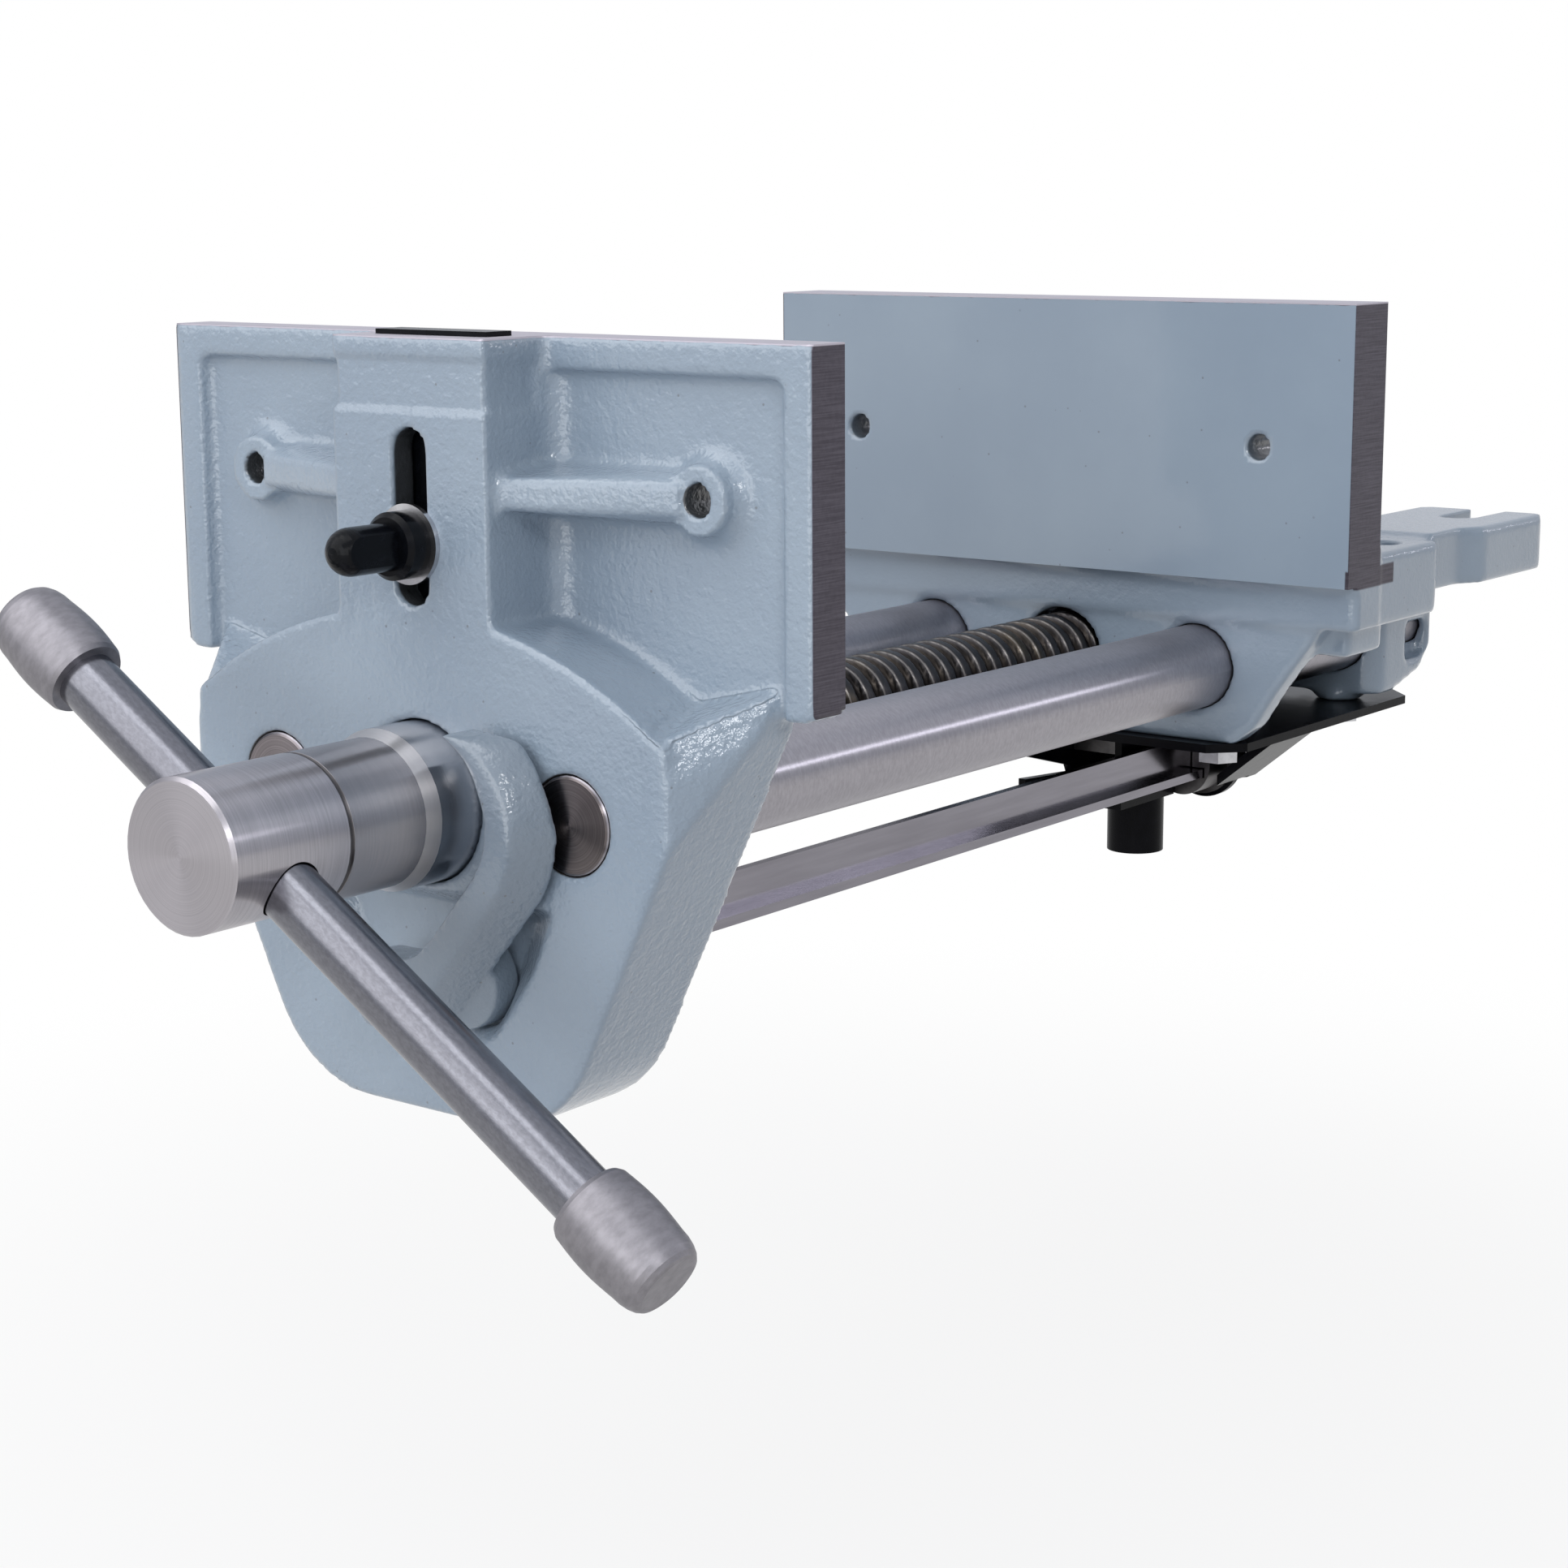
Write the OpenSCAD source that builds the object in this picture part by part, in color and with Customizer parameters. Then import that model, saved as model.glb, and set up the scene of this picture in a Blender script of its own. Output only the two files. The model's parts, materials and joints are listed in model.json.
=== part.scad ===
// Quick-release woodworking vise that bolts under a bench top.
// The origin is where the bench's lower front edge goes: on the centre line, on the rear face
// of the fixed jaw plate, level with the bench seat. +Y runs to the rear, +Z up.
// At rest the jaws stand fully open.

/* [Jaws] */
// Width of both jaw plates
jaw_w = 178; // [150:1:230]
// Distance between the jaw faces at rest, fully open
jaw_gap = 213; // [120:1:230]
// Height of the jaw tops above the bench seat
jaw_rise = 62.5; // [50:0.5:75]
// Thickness of the front jaw plate
front_plate_t = 10.5; // [8:0.5:14]
// Height of the front jaw plate
front_plate_h = 73; // [68:1:80]
// Thickness of the rear jaw plate
rear_plate_t = 17; // [14:0.5:20]
// Height of the rear jaw plate
rear_plate_h = 70.9; // [68:0.1:76]
// Spacing of the screw holes for wooden jaw facings
facing_spacing = 125; // [100:1:140]
// Diameter of the facing screw holes
facing_hole_d = 6.8; // [4:0.1:8]

/* [Rods and screw] */
// Depth of the rod and screw axes below the jaw tops
axis_drop = 95.5; // [94:0.5:98]
// Distance of each guide rod from the centre line
rod_x = 41.5; // [38:0.5:44]
// Diameter of the guide rods
rod_d = 22.2; // [18:0.1:24]
// Radial running clearance of rods and screw
running = 0.05; // [0.02:0.01:0.09]
// Diameter of the screw over its thread
screw_d = 22; // [18:0.5:24]
// Diameter of the screw's head
head_d = 31.2; // [28:0.1:34]
// Diameter of the polished collar behind the head
collar_d = 34; // [32:0.5:36]

/* [Handle] */
// Diameter of the handle bar
handle_d = 12.6; // [10:0.1:14]
// Length of the handle over its caps
handle_len = 200; // [160:1:260]
// How far the handle is slid towards its lower end at rest
handle_shift = 25.5; // [0:0.5:35]
// Angle of the handle below the level at rest
handle_lean = 32.2; // [0:0.1:60]
// Largest diameter of the end caps
cap_d = 18.5; // [17:0.1:22]
// Length of each end cap
cap_len = 22; // [18:0.5:28]

/* [Bench mounting] */
// Diameter of the bench bolt holes and slots
bench_hole_d = 9.5; // [6:0.1:11]
// Spacing of the front bench bolt holes
bench_front_spacing = 155; // [140:1:158]
// Distance of the front bench bolt holes behind the jaw plate
bench_front_y = 24.2; // [18:0.2:30]
// Spacing of the bolt slots in the ears
ear_slot_spacing = 142; // [136:1:148]
// Length of the ears behind the slab
ear_len = 69; // [64:0.5:74]

/* [Bench dog] */
// Width of the bench dog
dog_w = 31; // [24:0.5:33]
// Thickness of the bench dog
dog_t = 7.5; // [5:0.1:8]
// Height of the bench dog
dog_h = 50; // [46:0.5:52]
// Width of the slot for the thumbscrew
dog_slot_w = 9.8; // [8.6:0.1:12]

/* [Quick release] */
// Distance of the release bar's axis from the centre line
release_x = 11.5; // [11:0.1:12.2]
// Depth of the release bar's axis below the jaw tops
release_drop = 132; // [131:0.1:132.6]
// Angle through which the lever turns to free the nut
lever_angle = 12; // [6:1:12]
// Distance that the half nut drops when it is freed
nut_drop = 2.3; // [1.5:0.1:2.3]
// Thickness of the release bar's legs
bar_t = 2.3; // [1.5:0.1:2.4]

/* [Hidden] */
$fn = 72;

enamel = "lightsteelblue";
steel = "silver";
dark_steel = "dimgray";
black_finish = "#202022";
zinc = "gainsboro";
bronze = "peru";

// Overrun of every cut, and the gap between pieces that move past each other
over = 1;
play = 0.3;

// Places shared by many pieces, counted from the jaw tops down
rod_r = rod_d / 2;
screw_r = screw_d / 2;
front_rim_y = -rear_plate_t - jaw_gap - front_plate_t;
rear_face_y = -rear_plate_t;

// Front jaw casting: depths are from its front rim, heights from its top
body_proud = 18;
body_set_back = 1;
body_back = front_plate_t - body_set_back;
panel_depth = 3.1;
rim_side = 7.4;
rim_top = 6.7;
rim_fillet = 3;
plate_corner_r = 3;
column_half = 21.3;
column_fillet = 5;
cap_band_h = 4.5;
neck_band_h = 10;
neck_depth = 0.8;
arch_r = 110;
arch_drop = 55.5;
egg_half = 66.7;
flank_lean = 25.6;
chin_r = 30;
chin_x = 17.2;
body_drop = 162.4;
shoulder_rise = 6;
shoulder_in = 9.6;
boss_drop = 30.8;
rear_hole_drop = 36.5;
boss_r = 7.2;
boss_flare_r = 9.8;
boss_proud = 2.2;
rib_half_h = 3.1;
rib_root_half_h = 5.2;
rib_proud = 15.6;
scoop_depth = 7;
scoop_top_x = 37;
scoop_top_drop = 113.5;
scoop_side_x = 31;
scoop_side_drop = 128;
scoop_foot_x = 20;
scoop_foot_drop = 143.5;
scoop_low_x = 8;
scoop_low_drop = 148;
scoop_floor_share = 0.72;
cavity_depth = 15.5;
cavity_wall = 8;
cavity_top_drop = 99;
rod_boss_wall = 6;
rod_rim = 0.5;
spigot_r = 10.2;

// Dog housing
dog_front_wall = 7.4;
dog_slot_top = 18.3;
dog_slot_bottom = 54.6;
dog_screw_drop = 41.8;
dog_down = 8;
dog_rise = 1;
dog_screw_r = 4;
dog_washer_d = 16.6;
dog_washer_t = 1.2;
knob_collar_d = 14;
knob_collar_t = 5.6;
knob_d = 9.9;
knob_len = 15.3;
knob_flat = 7.4;

// Rear casting: depths are from its jaw face, heights from its top
rear_body_y = 6.5;
rear_wall_t = 9;
slab_y = 5.1;
slab_end_y = 52.5;
slab_side_in = 0.4;
slab_step = 1.1;
slab_t = 19;
platform_y = 57.5;
platform_t = 15.5;
waist_in = 4.5;
waist_end_y = 74;
ear_start_y = 81.5;
ear_inner_x = 51;
ear_side_in = 0.5;
ear_corner_r = 4;
ear_slot_y = 102.25;
bridge_end_y = 88;
rear_wall_drop = 115.2;
wall_top_half = 78;
wall_top_drop = 83.4;
wall_mid_half = 64.9;
wall_mid_drop = 101.4;
wall_low_half = 59.3;
wall_low_drop = 110.5;
wall_foot_half = 53.5;
block_y = 84.5;
block_end_y = 119.5;
block_half = 56;
block_drop = 113;
block_lift = 4.5;
block_rise_y = 96;
block_hollow_half = 26;
block_hollow_y = 92.5;
block_corner = 6;
window_y = 103.5;
window_len = 13;
window_h = 10.5;
gusset_x = 74;
gusset_w = 8;
gusset_end_y = 34.5;
gusset_drop = 91;
centre_wall_y = 67.6;
centre_wall_t = 8;
centre_wall_half = 28;
screw_gap = 1.2;
bolt_front_x = 45;
bolt_front_y = 14.5;
bolt_rear_x = 42;
bolt_rear_y = 89.5;
bolt_r = 3;
bolt_fit = 0.1;
bolt_flats = 10;
bolt_head_h = 4;
bolt_grip = 6;
bolt_pad_r = 6.5;

// Screw: depths are from the front jaw's rim
head_end = 82.8;
head_back = 31.6;
head_chamfer = 0.8;
groove_at = 51.5;
groove_w = 0.8;
groove_depth = 0.4;
collar_chamfer = 3.1;
collar_seat = 10;
washer_t = 2;
collar_gap = 0.3;
handle_at = 66.4;
handle_gap = 0.35;
screw_tail = 340;
ring_t = 4.5;
ring_wall = 5;
rod_tail = 347;
stop_ring_t = 2;
stop_ring_wall = 1.3;
end_chamfer = 0.6;

// Handle caps, as shares of the cap's length and largest radius
cap_step_share = 0.1;
cap_neck_share = 0.74;
cap_face_share = 0.68;
cap_wall = 6;

// Release lever and bar
lever_front = 29.5;
lever_back = 19.5;
lever_arc_x = 15;
lever_arc_drop = 97;
lever_arc_r = 20.5;
lever_back_r = 25.5;
lever_face_w = 7;
lever_tip_angle = 84;
lever_bend_angle = -40;
lever_leg = 46;
lever_top_drop = 77.6;
lever_clear = 1.7;
lever_fillet = 9;
hub_r = 10.3;
hub_depth = 6.4;
hub_gap = 0.5;
hub_left = 20;
hub_top = 6;
hub_corner = 4.5;
journal_r = 7;
clip_t = 1.5;
clip_r = 10.5;
bar_h = 11;
bar_leg = 6.3;
bar_in = 1;
bar_over = 7.6;
bar_end = 300;

// Trip cam, half nut, plunger and bracket: depths are from the rear casting's jaw face
cam_y = 53.5;
cam_len = 19.5;
cam_r = 9.2;
cam_ring_r = 10.6;
cam_ring_t = 1.5;
finger_y = 56.5;
finger_w = 5.5;
finger_reach = 13.1;
finger_up = 1.4;
finger_t = 3.6;
nub_r = 1.3;
nub_gap = 0.2;
hook_t = 3.5;
hook_foot_t = 3.4;
hook_lap = 4;
nut_half = 15;
nut_floor = rear_wall_drop - axis_drop - nut_drop - play;
tang_half = 7.1;
tang_y = 26;
tang_len = 26;
tang_drop = 126;
cup_y = 48.2;
cup_r = 8;
cup_wall = 1.7;
cup_len = 16.2;
plunger_r = 3.4;
plunger_len = 25;
plunger_ring_r = 5.9;
plunger_ring_t = 2.5;
plunger_ring_gap = 0.8;
spring_r = 5.1;
spring_wire_r = 0.55;
spring_turns = 4;
spring_rings = 8;
spring_sides = 6;
sheet_t = 2.2;
flange_t = 2.3;
flange_y = 2.5;
flange_end_y = 111.5;
flange_half = 56;
flange_corner = 8;
cheek_left_y = 1.5;
cheek_right_y = 24;
fork_drop = 124;
fork_end_y = 24.5;
fork_end_drop = 130.4;
fork_low_drop = 130.6;
fork_tip_drop = 132.4;
pan_y = 56;
pan_end_y = 80;
pan_floor_drop = 139;
pan_bend_x = 20;
pan_bend_drop = 136.4;
pan_lip_x = 46;
cam_window_y = 53;
cam_window_end_y = 75;
bearing_y = 66;
bearing_t = 2.4;
bearing_wall = 2.6;
bearing_half = 24;

// Helpers
function arc_points(cx, cz, r, from, to, steps = 12) =
    [for (i = [0:steps]) let (a = from + (to - from) * i / steps) [cx + r * cos(a), cz + r * sin(a)]];
function flipped(points) = [for (i = [len(points) - 1:-1:0]) [-points[i][0], points[i][1]]];
function both_sides(points) = concat(points, flipped(points));

module front_frame() {
    translate([0, front_rim_y, jaw_rise]) children();
}

module rear_frame() {
    translate([0, rear_face_y, jaw_rise]) children();
}

// Pushes a profile drawn in X and Z along Y
module push_y(from, to) {
    translate([0, to, 0]) rotate([90, 0, 0]) linear_extrude(height = to - from) children();
}

// Round bar along Y
module round_y(x, z, r, from, to, r_end = 0) {
    translate([x, from, z]) rotate([-90, 0, 0]) cylinder(h = to - from, r1 = r, r2 = r_end > 0 ? r_end : r);
}

// Turned piece along Y from a profile of radius and place
module turned_y(x, z, profile) {
    translate([x, 0, z]) rotate([-90, 0, 0]) rotate_extrude() polygon(profile);
}

module block(x0, x1, y0, y1, z0, z1) {
    translate([x0, y0, z0]) cube([x1 - x0, y1 - y0, z1 - z0]);
}

module both_x() {
    children();
    mirror([1, 0, 0]) children();
}

// Section of the release bar, grown by a gap where it runs in the cam
module bar_section(gap = 0) {
    left = release_x + bar_in - gap;
    top = bar_over - release_drop + gap;
    foot = bar_over - bar_h - release_drop - gap;
    translate([left, foot]) square([bar_t + 2 * gap, top - foot]);
    translate([left, foot]) square([bar_leg + 2 * gap, bar_t + 2 * gap]);
}

// Front jaw
chin_z = chin_r - body_drop;
flank_x = chin_x + chin_r * cos(flank_lean);
flank_z = chin_z - chin_r * sin(flank_lean);
function flank_at(z) = flank_x + (z - flank_z) * tan(flank_lean);
egg_z = flank_z + (egg_half - flank_x) / tan(flank_lean);

module egg(inset = 0) {
    intersection() {
        translate([0, -arch_drop - arch_r]) circle(r = arch_r - inset, $fn = 180);
        polygon(both_sides(concat(
            arc_points(chin_x, chin_z, chin_r - inset, -90, -flank_lean),
            [[egg_half - inset, egg_z - inset * sin(flank_lean)], [egg_half - inset, -arch_drop]])));
    }
}

module front_plate() {
    half = jaw_w / 2;
    panel_half = half - rim_side;
    difference() {
        push_y(0, front_plate_t) polygon(both_sides(concat(
            arc_points(half - plate_corner_r, plate_corner_r - front_plate_h, plate_corner_r, -90, 0, 6),
            [[half, 0]])));
        push_y(-over, panel_depth) polygon(both_sides(concat(
            [[panel_half, -front_plate_h - over]],
            arc_points(panel_half - rim_fillet, -rim_top - rim_fillet, rim_fillet, 0, 90, 6))));
    }
}

module dog_column() {
    neck_top = -cap_band_h;
    neck_foot = -cap_band_h - neck_band_h;
    difference() {
        block(-column_half, column_half, -body_proud, front_plate_t, -arch_drop - column_fillet, 0);
        block(-column_half - over, column_half + over, -body_proud - over, neck_depth - body_proud,
              neck_foot, neck_top);
        both_x() block(column_half - neck_depth, column_half + over, -body_proud - over, -over,
                       neck_foot, neck_top);
    }
    both_x() translate([0, 0, -arch_drop - column_fillet])
        linear_extrude(height = arch_drop + column_fillet - rim_top) polygon(concat(
            [[column_half - over, panel_depth + over], [column_half - over, panel_depth - column_fillet]],
            arc_points(column_half + column_fillet, panel_depth - column_fillet, column_fillet, 180, 90, 6),
            [[column_half + column_fillet, panel_depth + over]]));
}

// The wedge that carries each flank up to the plate's rim
module shoulder() {
    half = jaw_w / 2 - shoulder_in;
    rim_z = shoulder_rise - front_plate_h;
    inner = egg_half - shoulder_in;
    low = egg_z;
    steep_z = (low + rim_z) / 2;
    edge = arch_drop + arch_r - sqrt(arch_r * arch_r - inner * inner) + over;
    hull() polyhedron(points = [
        [egg_half, -body_proud, low],
        [egg_half, -body_proud, rim_z - body_proud],
        [egg_half - rim_fillet, -body_proud, rim_z - shoulder_in],
        [flank_at(steep_z), -2 * panel_depth, steep_z],
        [flank_at(rim_z - shoulder_in), -panel_depth, rim_z - shoulder_in],
        [half, panel_depth, rim_z],
        [half, body_back, rim_z],
        [flank_at(rim_z - shoulder_in), body_back, rim_z - shoulder_in],
        [egg_half, body_back, low],
        [inner, panel_depth, -edge],
        [inner, body_back, -edge],
        [inner, -body_proud, low],
        [inner, body_back, low]],
        faces = [[0, 1, 2], [3, 4, 5], [6, 7, 8], [9, 10, 11], [12, 0, 5]]);
}

module rib() {
    boss_x = facing_spacing / 2;
    tip = boss_x - boss_r;
    hull() {
        translate([0, 0, -boss_drop - rib_half_h]) linear_extrude(height = 2 * rib_half_h) polygon([
            [column_half - over, panel_depth], [column_half - over, -rib_proud], [tip, -boss_proud],
            [boss_x, -boss_proud], [boss_x, panel_depth]]);
        translate([0, 0, -boss_drop - rib_root_half_h]) linear_extrude(height = 2 * rib_root_half_h)
            polygon([[column_half - over, panel_depth + over], [column_half - over, panel_depth - over],
                     [boss_x, panel_depth - over], [boss_x, panel_depth + over]]);
    }
}

module facing_boss() {
    round_y(facing_spacing / 2, -boss_drop, boss_r, -boss_proud, panel_depth + over);
    round_y(facing_spacing / 2, -boss_drop, boss_r, panel_depth - column_fillet / 2, panel_depth, boss_flare_r);
}

// Hollow that the release lever lies in
module scoop_outline(share) {
    translate([0, -scoop_side_drop]) scale([share, share]) translate([0, scoop_side_drop])
        polygon(both_sides([
            [scoop_low_x, -scoop_low_drop], [scoop_foot_x, -scoop_foot_drop],
            [scoop_side_x, -scoop_side_drop], [scoop_top_x, -scoop_top_drop]]));
}

module front_jaw() {
    color(enamel) front_frame() difference() {
        union() {
            front_plate();
            dog_column();
            push_y(-body_proud, body_back) egg();
            both_x() shoulder();
            both_x() rib();
            both_x() facing_boss();
        }
        // Holes for the screws of the wooden facings
        both_x() round_y(facing_spacing / 2, -boss_drop, facing_hole_d / 2, -boss_proud - over,
                         front_plate_t + over);
        // Housing and slot of the bench dog
        block(-dog_w / 2 - play, dog_w / 2 + play, dog_front_wall - body_proud - play,
              dog_front_wall - body_proud + dog_t + play, -dog_h - dog_down - over, over);
        push_y(-body_proud - over, dog_front_wall - body_proud) {
            translate([0, -dog_slot_top - dog_slot_w / 2]) circle(r = dog_slot_w / 2);
            translate([0, dog_slot_w / 2 - dog_slot_bottom]) circle(r = dog_slot_w / 2);
            translate([-dog_slot_w / 2, dog_slot_w / 2 - dog_slot_bottom])
                square([dog_slot_w, dog_slot_bottom - dog_slot_top - dog_slot_w]);
        }
        // Bores of the rods, with a shallow rim in front
        both_x() round_y(rod_x, -axis_drop, spigot_r, -body_proud - over, front_plate_t + over);
        both_x() round_y(rod_x, -axis_drop, spigot_r + rod_rim, -body_proud - over, rod_rim - body_proud);
        // Bore of the screw and the seat of its collar
        round_y(0, -axis_drop, screw_r + running, -body_proud, front_plate_t + over);
        round_y(0, -axis_drop, collar_d / 2 + collar_gap, -body_proud - over, collar_seat - body_proud);
        // Hollow of the lever, with the bores of its hub and journal
        hull() {
            push_y(-body_proud - over, -body_proud) scoop_outline(1);
            push_y(scoop_depth - body_proud - over, scoop_depth - body_proud) scoop_outline(scoop_floor_share);
        }
        round_y(release_x, -release_drop, hub_r + hub_gap, -body_proud - over, scoop_depth - body_proud);
        round_y(release_x, -release_drop, journal_r + running, -body_proud, front_plate_t + over);
        // Cored back of the lower body
        push_y(body_back - cavity_depth, front_plate_t + over) difference() {
            intersection() {
                egg(cavity_wall);
                translate([-egg_half, -body_drop]) square([2 * egg_half, body_drop - cavity_top_drop]);
            }
            translate([rod_x, -axis_drop]) circle(r = rod_r + rod_boss_wall);
            translate([-rod_x, -axis_drop]) circle(r = rod_r + rod_boss_wall);
            translate([0, -axis_drop]) circle(r = screw_r + rod_boss_wall);
            translate([release_x, -release_drop]) circle(r = journal_r + rod_boss_wall);
        }
    }
}

module guide_rod(side) {
    color(steel) front_frame() turned_y(side * rod_x, -axis_drop, [
        [0, -body_proud], [spigot_r - end_chamfer, -body_proud], [spigot_r, end_chamfer - body_proud],
        [spigot_r, body_back], [rod_r, body_back], [rod_r, rod_tail - end_chamfer], [rod_r - end_chamfer, rod_tail], [0, rod_tail]]);
}

module guide_rod_left() {
    guide_rod(-1);
}

module guide_rod_right() {
    guide_rod(1);
}

stop_ring_y = jaw_gap + front_plate_t + block_end_y + play;
module rod_stop_rings() {
    color(dark_steel) front_frame() both_x() difference() {
        round_y(rod_x, -axis_drop, rod_r + stop_ring_wall, stop_ring_y, stop_ring_y + stop_ring_t);
        round_y(rod_x, -axis_drop, rod_r, stop_ring_y - over, stop_ring_y + stop_ring_t + over);
    }
}

// Screw with its head, collar and cross hole; the thread is plain at its outer size
module main_screw() {
    head_r = head_d / 2;
    collar_r = collar_d / 2;
    seat = collar_seat - body_proud - washer_t;
    color(steel) front_frame() difference() {
        turned_y(0, -axis_drop, [
            [0, -head_end], [head_r - head_chamfer, -head_end], [head_r, head_chamfer - head_end],
            [head_r, -groove_at - groove_w], [head_r - groove_depth, -groove_at - groove_w / 2],
            [head_r, -groove_at], [head_r, -head_back], [collar_r, collar_chamfer - head_back],
            [collar_r, seat], [screw_r, seat], [screw_r, screw_tail - end_chamfer],
            [screw_r - end_chamfer, screw_tail], [0, screw_tail]]);
        translate([0, -handle_at, -axis_drop]) rotate([0, handle_lean, 0]) rotate([0, 90, 0])
            cylinder(h = 2 * collar_d, r = handle_d / 2 + handle_gap, center = true);
    }
}

module thrust_washer() {
    seat = collar_seat - body_proud;
    color(bronze) front_frame() difference() {
        round_y(0, -axis_drop, collar_d / 2, seat - washer_t, seat);
        round_y(0, -axis_drop, screw_r + running, seat - washer_t - over, seat + over);
    }
}

module screw_retaining_ring() {
    from = body_back + play;
    color(dark_steel) front_frame() difference() {
        round_y(0, -axis_drop, screw_r + ring_wall, from, from + ring_t);
        round_y(0, -axis_drop, screw_r, from - over, from + ring_t + over);
    }
}

// Handle: its axis runs through the screw's head, X' towards the lower end
module handle_frame() {
    front_frame() translate([0, -handle_at, -axis_drop]) rotate([0, handle_lean, 0])
        translate([handle_shift, 0, 0]) children();
}

module handle_bar() {
    bar_len = handle_len - 2 * cap_wall;
    color(steel) handle_frame() rotate([0, 90, 0]) cylinder(h = bar_len, r = handle_d / 2, center = true);
}

// Barrel cap from its inner face outwards along X
module handle_cap() {
    big = cap_d / 2;
    neck = cap_len * cap_neck_share;
    face = big * cap_face_share;
    edge = big - cap_len * cap_step_share / 4;
    color(steel) rotate([0, 90, 0]) difference() {
        rotate_extrude() polygon(concat(
            [[0, 0], [big - cap_len * cap_step_share / 2, 0], [edge, over]],
            [for (i = [1:8]) let (a = i * 180 / 9)
                [edge + (big - edge) * sin(a), over + (neck - over) * i / 9]],
            [for (i = [0:5]) let (a = i * 90 / 5)
                [face + (edge - face) * cos(a), neck + (cap_len - neck) * sin(a)]],
            [[0, cap_len]]));
        translate([0, 0, -over]) cylinder(h = cap_len - cap_wall + over, r = handle_d / 2);
    }
}

module handle_cap_upper() {
    handle_frame() translate([cap_len - handle_len / 2, 0, 0]) mirror([1, 0, 0]) handle_cap();
}

module handle_cap_lower() {
    handle_frame() translate([handle_len / 2 - cap_len, 0, 0]) handle_cap();
}

// Release lever: curved arm, straight leg, hub block and journal in one casting
module lever_section(inset = 0) {
    inner = lever_arc_r - lever_face_w + inset;
    polygon([[inner, inset - lever_front], [lever_arc_r - inset, inset - lever_front],
             [lever_back_r - inset, -lever_back - inset], [inner, -lever_back - inset]]);
}

module lever_arm() {
    arm = release_drop - axis_drop;
    difference() {
        union() {
            translate([lever_arc_x, 0, -lever_arc_drop]) rotate([-90, 0, 0])
                rotate([0, 0, -lever_tip_angle])
                    rotate_extrude(angle = lever_tip_angle - lever_bend_angle, $fn = 96) lever_section();
            translate([lever_arc_x, 0, -lever_arc_drop]) rotate([-90, 0, 0])
                rotate([0, 0, -lever_bend_angle]) translate([0, lever_leg, 0]) rotate([90, 0, 0])
                    linear_extrude(height = lever_leg + over) lever_section(running);
        }
        // Flat top of the arm, and the foot of the leg
        block(0, 2 * lever_back_r, -lever_front - over, over - lever_back, -lever_top_drop,
              lever_back_r - lever_arc_drop + over);
        block(-2 * lever_back_r, 2 * lever_back_r, -lever_front - over, over - lever_back,
              -2 * release_drop, running - release_drop - hub_r);
        // Hollow that keeps clear of the collar when the lever has turned
        round_y(release_x * (1 - cos(lever_angle)) + arm * sin(lever_angle),
                release_x * sin(lever_angle) + arm * cos(lever_angle) - release_drop,
                collar_d / 2 + lever_clear, -lever_front - over, over - lever_back);
    }
}

module release_lever() {
    top = hub_top - release_drop;
    foot = -release_drop - hub_r;
    left = release_x - hub_left;
    inner = lever_arc_r - lever_face_w;
    lean = -lever_bend_angle;
    leg_x = lever_arc_x + inner * cos(lean) + (lever_arc_drop + inner * sin(lean) + top) * tan(lean);
    fillet_x = leg_x - lever_fillet * (1 - sin(lean)) / cos(lean);
    mid = lever_arc_r - lever_face_w / 2;
    mid_x = lever_arc_x + mid / cos(lean);
    color(enamel) front_frame() {
        lever_arm();
        push_y(-lever_front, -lever_back) {
            polygon(concat(arc_points(left + hub_corner, foot + hub_corner, hub_corner, 180, 270, 6),
                           [[mid_x + (lever_arc_drop + foot) * tan(lean), foot],
                            [mid_x + (lever_arc_drop + top) * tan(lean), top]],
                           arc_points(left + hub_corner, top - hub_corner, hub_corner, 90, 180, 6)));
            polygon(concat(arc_points(fillet_x, top + lever_fillet, lever_fillet, -90, -lean, 6),
                           [[release_x, top + lever_fillet / 2], [release_x, top - over],
                            [fillet_x, top - over]]));
        }
        round_y(release_x, -release_drop, hub_r, -lever_back, hub_depth - body_proud);
        round_y(release_x, -release_drop, journal_r, -lever_back, body_back + play + clip_t);
    }
}

module lever_clip() {
    from = body_back + play;
    color(dark_steel) front_frame() difference() {
        round_y(release_x, -release_drop, clip_r, from, from + clip_t);
        round_y(release_x, -release_drop, journal_r, from - over, from + clip_t + over);
    }
}

module release_bar() {
    color(zinc) front_frame() push_y(body_back + play + clip_t, bar_end) bar_section();
}

// Rear casting
module ear_plan() {
    half = jaw_w / 2 - ear_side_in;
    end_y = slab_end_y + ear_len;
    polygon(both_sides(concat(
        [[0, slab_end_y - slab_t], [half, slab_end_y - slab_t], [half, slab_end_y],
         [half - waist_in, slab_end_y + waist_in / 2], [half - waist_in, waist_end_y], [half, ear_start_y]],
        arc_points(half - ear_corner_r, end_y - ear_corner_r, ear_corner_r, 0, 90, 6),
        arc_points(ear_inner_x + ear_corner_r, end_y - ear_corner_r, ear_corner_r, 90, 180, 6),
        arc_points(ear_inner_x - ear_corner_r, bridge_end_y + ear_corner_r, ear_corner_r, 0, -90, 6),
        [[0, bridge_end_y]])));
}

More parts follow.
